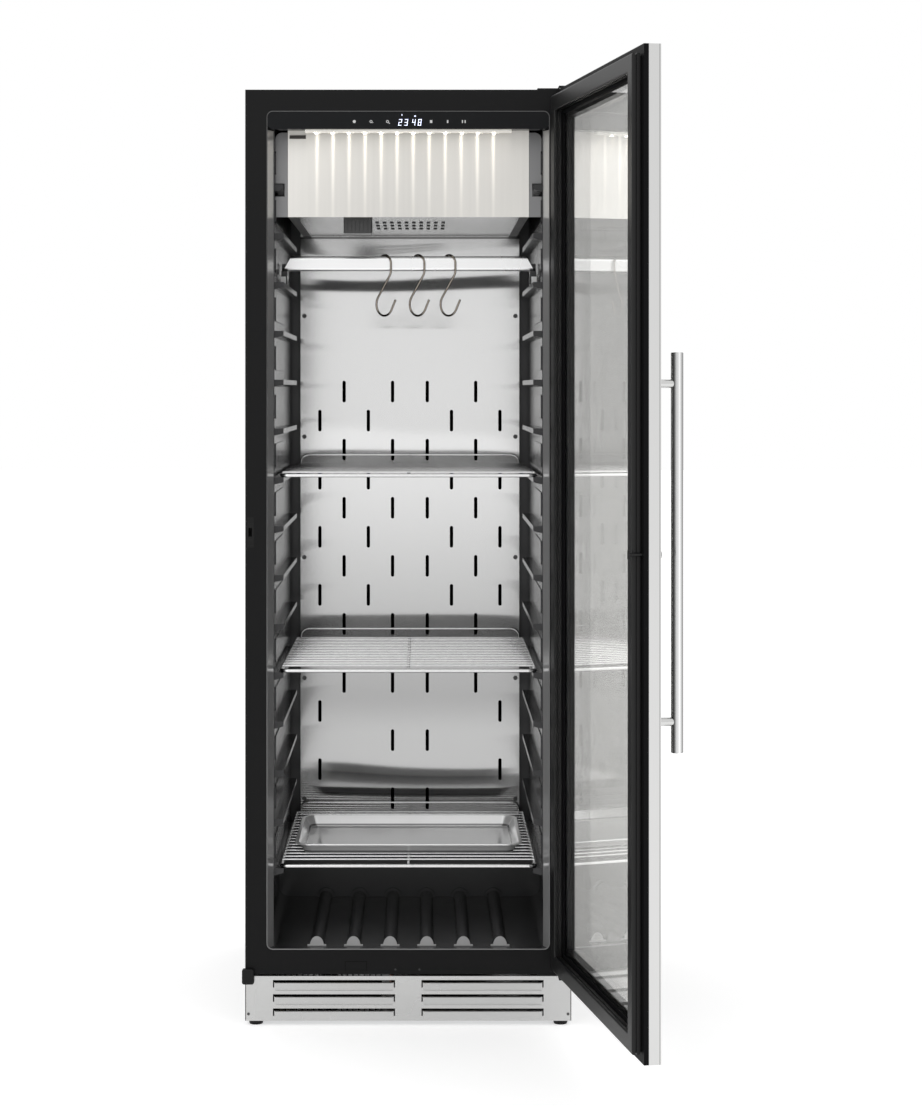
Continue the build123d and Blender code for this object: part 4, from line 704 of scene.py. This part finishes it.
class CABINET_OT_steel_finish(bpy.types.Operator):
    """Give the steel sheets, the wire and the handle their brushed and plated finishes"""

    bl_idname = "cabinet.steel_finish"
    bl_label = "Steel finish"

    # How the scratches are stretched: sideways, upwards, and upwards in coarse lines
    across, upright, coarse = (8.0, 3000.0, 3000.0), (3000.0, 3000.0, 8.0), (160.0, 160.0, 2.0)
    shelves = ("shelf_upper", "shelf_middle", "shelf_lower")
    hooks = ("hook_left", "hook_middle", "hook_right")
    door_angle = 10
    # Painted reflections on the handle: place from one flank to the other, and tone there
    grip_reflection_stops = (
        (0.0, 0.3), (0.12, 0.08), (0.22, 0.14), (0.35, 0.5), (0.46, 0.6), (0.55, 0.72),
        (0.64, 0.95), (0.74, 0.72), (0.84, 0.4), (0.92, 0.26), (1.0, 0.4),
    )

    def execute(self, context):
        finish = context.scene.cabinet_finish
        steel, rough = tuple(finish.steel), finish.steel_roughness
        self.duct_panel(rough)
        front = brushed_steel("top box steel", (0.68, 0.665, 0.635), rough * 1.3, self.coarse, 0.000002)
        # Painted light: the sheet glows in one streak under each lens
        painted_light_streaks(front, context.scene.cabinet_lamps)
        finish_nodes(stretch_highlights(front, 1.0, (1, 0, 0)), "top_box_front")
        under = brushed_steel("underside steel", steel, rough * 0.6, self.across, 0.00001, wave_height=0.004)
        finish_nodes(under, "underside_plate")
        finish_nodes(bare_metal("housing steel", (0.12, 0.12, 0.12), 0.5), "top_box_housing")
        plinth = brushed_steel("plinth steel", steel, rough, self.across, 0.000004, wave_height=0.001)
        finish_nodes(plinth, "kickplate")
        self.door(steel, rough)
        self.tray(rough)
        post = brushed_steel("post steel", shades(steel, 0.1)[1], rough * 0.6, self.across, 0.000005)
        finish_nodes(post, "handle_posts")
        grip = brushed_steel("handle steel", (0.97, 0.97, 0.97), rough * 0.8, self.upright, 0.000005)
        low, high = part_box("handle_bar")
        # Painted reflections: dark stripes near the flanks and a bright one near the middle
        painted_round_reflections(grip, (low + high) / 2, (1, 0, 0), self.grip_reflection_stops)
        finish_nodes(grip, "handle_bar")
        rod = brushed_steel("bar steel", (0.84, 0.84, 0.84), rough, self.across, 0.00001)
        low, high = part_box("hanging_bar")
        # Painted shade: the bar's back half darker, so that the duct panel mirrors it dark
        paint_shade_along(rod, "Y", start=high.y, end=(low.y + high.y) / 2, share=0.15)
        finish_nodes(rod, "hanging_bar")
        finish_nodes(plated_wire("shelf wire", tuple(finish.wire)), *self.shelves)
        finish_nodes(plated_wire("hook wire", (0.34, 0.3, 0.26)), *self.hooks)
        finish_nodes(bare_metal("screw metal", (0.1, 0.1, 0.1), 0.4), "cabinet_screws")
        finish_nodes(bare_metal("lock metal", (0.03, 0.03, 0.03), 0.35), "lock_cylinder", "lock_cam")
        finish_nodes(satin_paint("black spacer", (0.008, 0.008, 0.008), 0.3, 0.5), "glass_spacer")
        return {"FINISHED"}

    def duct_panel(self, rough):
        """The rear sheet, with painted reflections as dark and light bands, and painted shade along the fold
        under the top box.
        """
        panel = brushed_steel(
            "duct panel steel", (0.8, 0.8, 0.798), rough * 0.34, self.upright, 0.000002,
            wave_height=0.009, metallic=0.85,
        )
        # Painted reflections: darker towards the bottom, lighter again just above the tray, darker under the
        # top box
        paint_shade_along(panel, "Z", start=0.42, end=1.18, share=0.44)
        paint_shade_along(panel, "Z", start=0.44, end=0.53, share=1.35)
        paint_shade_along(panel, "Z", start=1.48, end=1.37, share=0.72)
        # Painted shade: a dark line along the fold under the top box
        fold_shade_line(panel, (0, 0, 1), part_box("top_box_front")[0].z - 0.003, width=0.005, share=0.3)
        finish_nodes(stretch_highlights(panel, 1.0, (0, 0, 1)), "duct_panel")

    def door(self, steel, rough):
        """The door's sheet, with a painted shade line along the fold of its outer edge as it stands open."""
        door = brushed_steel("door steel", shades(steel, 0.14)[1], rough * 1.2, self.upright, 0.00001)
        turn = math.radians(self.door_angle)
        outward = (math.cos(turn), math.sin(turn), 0)
        corners = frame["nodes"]["door_frame"].data.vertices
        edge = max(vertex.co.dot(Vector(outward)) for vertex in corners)
        # Painted shade: a dark line just inside the outer edge
        fold_shade_line(door, outward, edge - 0.0022, width=0.0016, share=0.62)
        finish_nodes(door, "door_frame")

    def tray(self, rough):
        """The tray's sheet, with painted shade along the fold where its walls meet the floor."""
        tray = brushed_steel(
            "tray steel", (0.97, 0.97, 0.97), rough * 0.4, self.across, 0.000005,
            wave_height=0.001, metallic=0.48,
        )
        # Painted shade: a dark line along the fold at the floor
        fold_shade_line(tray, (0, 0, 1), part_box("drip_tray")[0].z + 0.0035, width=0.0036, share=0.3)
        finish_nodes(tray, "drip_tray")


class CABINET_OT_door_finish(bpy.types.Operator):
    """Give the door its glass, its black inner frame and its gasket"""

    bl_idname = "cabinet.door_finish"
    bl_label = "Door finish"

    def execute(self, context):
        finish = context.scene.cabinet_finish
        pane = window_glass("pane glass", tuple(finish.glass), 1.52)
        finish_nodes(pane, "door_outer_glass", "door_inner_glass")
        finish_nodes(window_glass("lamp tube", (0.9, 0.93, 1.0), 1.5), "ultraviolet_lamp")
        finish_nodes(moulded_plastic("door plastic", (0.006, 0.006, 0.0065), 0.5, 0.05), "door_inner_frame")
        finish_nodes(soft_rubber("gasket rubber", (0.01, 0.01, 0.01)), "door_gasket")
        return {"FINISHED"}


class CABINET_OT_lamps(bpy.types.Operator):
    """Light the row of lenses under the fascia"""

    bl_idname = "cabinet.lamps"
    bl_label = "Lamps"

    def execute(self, context):
        lamps = context.scene.cabinet_lamps
        finish_nodes(glowing("strip diffuser", (1.0, 0.97, 0.9), lamps.strip_glow, 60.0), "light_bar")
        recipe = NodeRecipe("row of lenses")
        count = recipe.size("Lamps", lamps.count, "NodeSocketInt")
        radius = recipe.size("Lens radius", lamps.radius)
        drop = recipe.size("Lens drop", lamps.drop)
        start = (lamp_row(lamps)[1], (LIGHT_LOW.y + LIGHT_HIGH.y) / 2, LIGHT_LOW.z - lamps.drop / 2)
        lens = recipe.node("GeometryNodeMeshCylinder", {"Radius": radius, "Depth": drop}, Vertices=20)
        row = recipe.row(count, start, (lamps.spacing, 0, 0), lens)
        glow = glowing("warm lens", (1.0, 0.93, 0.8), lamps.glow, 40.0)
        recipe.piece(row, glow, "lamp_lenses", "light_strip")
        return {"FINISHED"}


class CABINET_OT_mouth_bead(bpy.types.Operator):
    """Run the thin bead round the mouth of the cavity; its light grey tone is partly a painted highlight,
    lighter towards the bottom
    """

    bl_idname = "cabinet.mouth_bead"
    bl_label = "Mouth bead"

    def execute(self, context):
        trim = context.scene.cabinet_trim
        recipe = NodeRecipe("bead round the mouth")
        width = recipe.size("Mouth width", trim.mouth_width - 2 * trim.bead_radius)
        height = recipe.size("Mouth height", trim.mouth_height - 2 * trim.bead_radius)
        corner = recipe.size("Mouth corner", trim.mouth_corner - trim.bead_radius)
        radius = recipe.size("Bead radius", trim.bead_radius)
        outline = recipe.node("GeometryNodeCurvePrimitiveQuadrilateral", {"Width": width, "Height": height})
        rounded = recipe.node(
            "GeometryNodeFilletCurve", {"Curve": outline, "Radius": corner}, mode="POLY", Count=10
        )
        section = recipe.node("GeometryNodeCurvePrimitiveCircle", {"Radius": radius}, Resolution=10)
        bead = recipe.node("GeometryNodeCurveToMesh", {"Curve": rounded, "Profile Curve": section})
        depth, middle = trim.bead_radius * 1.4, trim.mouth_bottom + trim.mouth_height / 2
        stand = {"Rotation": (math.radians(90), 0, 0), "Translation": (MIDDLE_X, FRONT_Y + depth, middle)}
        place = recipe.node("GeometryNodeTransform", {"Geometry": bead, **stand})
        # Grey plastic, made lighter as a painted highlight along the mouth's edge
        paint = moulded_plastic("bead highlight plastic", (0.22, 0.22, 0.22), 0.2, 0.6)
        # Painted light: the bead lighter towards the bottom
        paint_shade_along(paint, "Z", start=1.3, end=0.3, share=0.35)
        recipe.piece(place, paint, "mouth_bead", "charcoal_paint")
        return {"FINISHED"}


class CABINET_OT_small_trim(bpy.types.Operator):
    """Add the tapered lining of the mouth, the dark block at the top box's corner, the flanges, the sill's
    marks and the bar's clips
    """

    bl_idname = "cabinet.small_trim"
    bl_label = "Small trim"

    mark_proud, mark_depth = 0.0002, 0.0004

    def execute(self, context):
        trim = context.scene.cabinet_trim
        self.lining(trim)
        self.corner_block()
        self.flanges(trim)
        self.sill_blank()
        self.sill_pins()
        self.bracket_clips()
        return {"FINISHED"}

    def lining(self, trim):
        """The thin sheets that narrow the mouth towards the back."""
        front, back, gap, push = 0.0024, 0.0295, 0.001, (0.0006, 0.0004)
        half = trim.mouth_width / 2
        work = bmesh.new()
        for side in (-1, 1):
            x0, x1 = MIDDLE_X + side * half, MIDDLE_X + side * (half - trim.lining_taper)
            y0, y1 = FRONT_Y + front, FRONT_Y + back
            z0, z1 = trim.mouth_bottom + gap, FASCIA_LOW.z - gap
            corners = [(x0, y0, z0), (x1, y1, z0), (x1, y1, z1), (x0, y0, z1)]
            plate_mesh(work, corners, (side * push[0], push[1], 0))
        plastic = moulded_plastic("lining plastic", (0.5, 0.5, 0.5), 0.16, 0.5, metallic=0.6)
        close_piece(work, "mouth_lining", plastic, "cabinet")

    def corner_block(self):
        """A small dark block at the top box's upper left corner."""
        inset, length, height, top, proud, depth = 0.0033, 0.03, 0.0062, 1.6285, 0.004, 0.0038
        work = bmesh.new()
        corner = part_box("top_box_front")[0]
        left = corner.x + inset
        face = upright_rectangle(left, left + length, corner.y - proud, top - height, top)
        plate_mesh(work, face, (0, depth, 0))
        plastic = moulded_plastic("corner block plastic", (0.05, 0.045, 0.04), 0.4, 0.4)
        close_piece(work, "corner_block", plastic, "cabinet")

    def flanges(self, trim):
        """The grey flange at each side of the top box, with a notch for its catch."""
        gap, reach, corner, notch, setback, depth = 0.0005, 0.2455, 0.012, 0.017, 0.0008, 0.001
        catch_low, catch_high = trim.catch_height - 0.022, trim.catch_height + 0.002
        bends = [math.radians(angle) for angle in (22.5, 45, 67.5, 90)]
        low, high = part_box("top_box_front")
        top, bottom = trim.flange_top, low.z
        work = bmesh.new()
        for side in (-1, 1):
            edge = (low.x if side < 0 else high.x) + side * gap
            far = MIDDLE_X + side * reach
            outline = [(edge, bottom), (edge, top), (far - side * corner, top)]
            outline += [
                (far - side * corner * (1 - math.sin(bend)), top - corner * (1 - math.cos(bend)))
                for bend in bends
            ]
            outline += [(far, catch_high), (far - side * notch, catch_high)]
            outline += [(far - side * notch, catch_low), (far, catch_low), (far, bottom)]
            plate_mesh(work, [(x, low.y + setback, z) for x, z in outline], (0, depth, 0))
        plastic = moulded_plastic("flange plastic", (0.27, 0.27, 0.274), 0.4, 0.4)
        close_piece(work, "box_flanges", plastic, "cabinet")

    def sill_blank(self):
        """The three-sided outline of the blank on the sill."""
        start, end, low, high, edge = -0.1155, -0.0754, 0.0995, 0.117, 0.0012
        left, right = MIDDLE_X + start, MIDDLE_X + end
        work = bmesh.new()
        for x0, x1, z0, z1 in (
            (left, right, high - edge, high),
            (left, left + edge, low, high - edge),
            (right - edge, right, low, high - edge),
        ):
            face = upright_rectangle(x0, x1, FRONT_Y - self.mark_proud, z0, z1)
            plate_mesh(work, face, (0, self.mark_depth, 0))
        plastic = moulded_plastic("blank plastic", (0.003, 0.003, 0.003), 0.6, 0.1)
        close_piece(work, "sill_blank", plastic, "cabinet")

    def sill_pins(self):
        """The two pins on the sill."""
        radius, height, sides, places = 0.002, 0.1015, 12, (-0.0234, 0.0204)
        turns = [math.radians(360 / sides * i) for i in range(sides)]
        work = bmesh.new()
        for place in places:
            x, y = MIDDLE_X + place, FRONT_Y - self.mark_proud
            corners = [(x + radius * math.cos(a), y, height + radius * math.sin(a)) for a in turns]
            plate_mesh(work, corners, (0, self.mark_depth, 0))
        metal = bare_metal("sill pins", (0.06, 0.06, 0.06), 0.5)
        close_piece(work, "sill_pins", metal, "cabinet")

    def bracket_clips(self):
        """The white clip at the front of each of the bar's brackets."""
        width, bottom, top, proud, depth = 0.0098, 0.0012, 0.0145, 0.0003, 0.0006
        low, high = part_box("bar_brackets")
        work = bmesh.new()
        for x in (low.x, high.x - width):
            face = upright_rectangle(x, x + width, low.y - proud, low.z + bottom, low.z + top)
            plate_mesh(work, face, (0, depth, 0))
        plastic = moulded_plastic("clip white", (0.75, 0.75, 0.75), 0.3, 0.5)
        close_piece(work, "bracket_clips", plastic, "bar")


class CABINET_OT_rib_ends(bpy.types.Operator):
    """Put the light end faces on the floor's ribs; their light tone is painted light where they face the
    front
    """

    bl_idname = "cabinet.rib_ends"
    bl_label = "Rib ends"

    foot_width, foot_depth, foot_height = 2.7, 1.5, 0.2

    def execute(self, context):
        trim = context.scene.cabinet_trim
        radius, cap = trim.rib_radius, trim.rib_cap
        recipe = NodeRecipe("rib ends")
        count = recipe.size("Ribs", trim.rib_count, "NodeSocketInt")
        arc = {"Radius": recipe.size("Rib radius", radius), "Start Angle": 0.0, "Sweep Angle": math.pi}
        arc["Connect Center"] = True
        half = recipe.node("GeometryNodeCurveArc", arc, mode="RADIUS", Resolution=24)
        face = recipe.node("GeometryNodeFillCurve", {"Curve": half}, mode="NGONS")
        thick = recipe.node("GeometryNodeExtrudeMesh", {"Mesh": face, "Offset Scale": cap}, mode="FACES")
        stand = {"Rotation": (math.radians(90), 0, 0), "Scale": (1, trim.rib_arch, 1)}
        arch = recipe.node("GeometryNodeTransform", {"Geometry": recipe.join(face, thick), **stand})
        size = (radius * self.foot_width, cap * self.foot_depth, radius * self.foot_height)
        foot = recipe.node("GeometryNodeMeshCube", {"Size": size})
        lift = (0, -cap, radius * self.foot_height / 2)
        lifted = recipe.node("GeometryNodeTransform", {"Geometry": foot, "Translation": lift})
        start = MIDDLE_X - trim.rib_pitch * (trim.rib_count - 1) / 2
        place = (start, FRONT_Y + trim.rib_start, trim.rib_floor)
        row = recipe.row(count, place, (trim.rib_pitch, 0, 0), recipe.join(arch, lifted))
        # Painted light: end faces far lighter than the black liner, as if lit from the front
        grey = moulded_plastic("rib end painted light", (0.5, 0.5, 0.5), 0.4, 0.4)
        recipe.piece(row, grey, "rib_ends", "black_liner")
        return {"FINISHED"}


class CABINET_OT_display(bpy.types.Operator):
    """Put the lit numbers and the touch marks on the fascia"""

    bl_idname = "cabinet.display"
    bl_label = "Display"

    # Segments of each number; places are measured sideways from the cabinet's middle
    segments = {"2": "abged", "3": "abgcd", "4": "fgbc", "8": "abcdefg"}
    number_height, mark_height = 1.6475, 1.649
    numbers = (("2", -0.0186), ("3", -0.0078), ("4", 0.0062), ("8", 0.017))
    digit_width, digit_height, stroke, stroke_gap, lean = 0.0064, 0.0122, 0.0017, 0.00025, 0.12
    # Signs: place, height, half width, size. Rings: place, outer and inner radius, slope of the tail
    signs = ((-0.0115, 1.661, 0.0007, 0.0026), (0.0125, 1.659, 0.0015, 0.0022))
    rings = ((-0.0985, 0.0028, 0.0, 0.0), (-0.068, 0.0026, 0.0014, 0.5), (-0.0379, 0.0026, 0.0014, 0.9))
    # Bars: place, half width
    bars = ((0.0417, 0.0022), (0.0719, 0.0013), (0.0989, 0.001), (0.1039, 0.001))
    bar_height, ring_steps, tail_length, tail_width = 0.0052, 20, 0.0022, 0.0007
    print_depth = 0.0002

    def execute(self, context):
        gloss = moulded_plastic("fascia gloss", (0.011, 0.0115, 0.0125), 0.22, 0.08)
        finish_nodes(gloss, "control_fascia")
        numbers = bmesh.new()
        for digit, place in self.numbers:
            self.digit(numbers, digit, place)
        for place, height, half_width, size in self.signs:
            self.plate(numbers, place, height, half_width, size)
        glow = glowing("number glow", (0.78, 0.82, 1.0), 0.95, 200.0)
        self.print_marks(numbers, "display_numbers", glow)
        marks = bmesh.new()
        for place, outer, inner, tail in self.rings:
            self.ring(marks, place, outer, inner)
            if tail:
                self.tail(marks, place, outer, tail)
        for place, half_width in self.bars:
            self.plate(marks, place, self.mark_height, half_width, self.bar_height)
        self.print_marks(marks, "touch_marks", glowing("mark ink", (0.5, 0.5, 0.5), 0.25, 200.0))
        return {"FINISHED"}

    def quad(self, work, points):
        """One flat face on the fascia, turned to the front."""
        y = FASCIA_LOW.y - self.print_depth
        work.faces.new([work.verts.new((MIDDLE_X + x, y, z)) for x, z in points])

    def plate(self, work, x, z, half_width, height):
        """An upright bar of a mark."""
        self.box(work, x - half_width, z - height / 2, x + half_width, z + height / 2)

    def box(self, work, x0, z0, x1, z1, lean=0.0, x=0.0, z=0.0):
        """A rectangle, moved to a place and leaning to the right."""
        points = [(x0, z0), (x1, z0), (x1, z1), (x0, z1)]
        self.quad(work, [(x + px + pz * lean, z + pz) for px, pz in points])

    def ring(self, work, x, outer, inner):
        """A disc or a ring."""
        z = self.mark_height
        for i in range(self.ring_steps):
            a, b = 2 * math.pi * i / self.ring_steps, 2 * math.pi * (i + 1) / self.ring_steps
            places = [(inner, a), (outer, a), (outer, b)] + ([(inner, b)] if inner else [])
            self.quad(work, [(x + far * math.cos(turn), z + far * math.sin(turn)) for far, turn in places])

    def tail(self, work, x, outer, slope):
        """The short tail at a ring's lower right."""
        z, end = self.mark_height, outer + self.tail_length
        points = [(x + outer * 0.6, z - outer * 0.9), (x + end * 0.75, z - end * slope)]
        points += [(x + end, z - end * slope + self.tail_width), (x + outer * 0.9, z - outer * 0.6)]
        self.quad(work, points)

    def digit(self, work, digit, x):
        """One seven-segment number, leaning a little to the right."""
        w, h, t, gap = self.digit_width, self.digit_height, self.stroke, self.stroke_gap
        bars = {
            "a": (0, h - t, w, h),
            "g": (0, (h - t) / 2, w, (h + t) / 2),
            "d": (0, 0, w, t),
            "f": (0, h / 2, t, h),
            "e": (0, 0, t, h / 2),
            "b": (w - t, h / 2, w, h),
            "c": (w - t, 0, w, h / 2),
        }
        bottom = self.number_height - h / 2
        for name in self.segments[digit]:
            x0, z0, x1, z1 = bars[name]
            self.box(work, x0 + gap, z0 + gap, x1 - gap, z1 - gap, self.lean, x, bottom)

    def print_marks(self, work, name, material):
        """Turn the marks into a thin printed piece on the fascia."""
        thicken(work, list(work.faces), (0, self.print_depth, 0))
        close_piece(work, name, material, "cabinet")


OPERATORS = (
    CABINET_OT_stage,
    CABINET_OT_body_finish,
    CABINET_OT_steel_finish,
    CABINET_OT_door_finish,
    CABINET_OT_lamps,
    CABINET_OT_mouth_bead,
    CABINET_OT_display,
    CABINET_OT_small_trim,
    CABINET_OT_rib_ends,
)


class CABINET_PT_panel(bpy.types.Panel):
    """The cabinet's pieces and settings"""

    bl_idname = "CABINET_PT_panel"
    bl_label = "Dry aging cabinet"
    bl_space_type = "VIEW_3D"
    bl_region_type = "UI"
    bl_category = "Cabinet"

    def draw(self, context):
        for name, group in SETTINGS.items():
            box = self.layout.box()
            for setting in group.__annotations__:
                box.prop(getattr(context.scene, name), setting)
        for operator in OPERATORS:
            self.layout.operator(operator.bl_idname)


SETTINGS = {
    "cabinet_stage": StageSettings,
    "cabinet_finish": FinishSettings,
    "cabinet_lamps": LampSettings,
    "cabinet_trim": TrimSettings,
}


def register():
    """Register the settings, the operators and the panel."""
    for name, group in SETTINGS.items():
        bpy.utils.register_class(group)
        setattr(bpy.types.Scene, name, bpy.props.PointerProperty(type=group))
    for operator in OPERATORS:
        bpy.utils.register_class(operator)
    bpy.utils.register_class(CABINET_PT_panel)


def unregister():
    """Take the panel, the operators and the settings out again."""
    bpy.utils.unregister_class(CABINET_PT_panel)
    for operator in reversed(OPERATORS):
        bpy.utils.unregister_class(operator)
    for name, group in SETTINGS.items():
        delattr(bpy.types.Scene, name)
        bpy.utils.unregister_class(group)


def main():
    """Build the dressed cabinet."""
    register()
    bpy.ops.cabinet.stage()
    bpy.ops.cabinet.body_finish()
    bpy.ops.cabinet.steel_finish()
    bpy.ops.cabinet.door_finish()
    bpy.ops.cabinet.lamps()
    bpy.ops.cabinet.mouth_bead()
    bpy.ops.cabinet.display()
    bpy.ops.cabinet.small_trim()
    bpy.ops.cabinet.rib_ends()


if __name__ == "__main__":
    main()
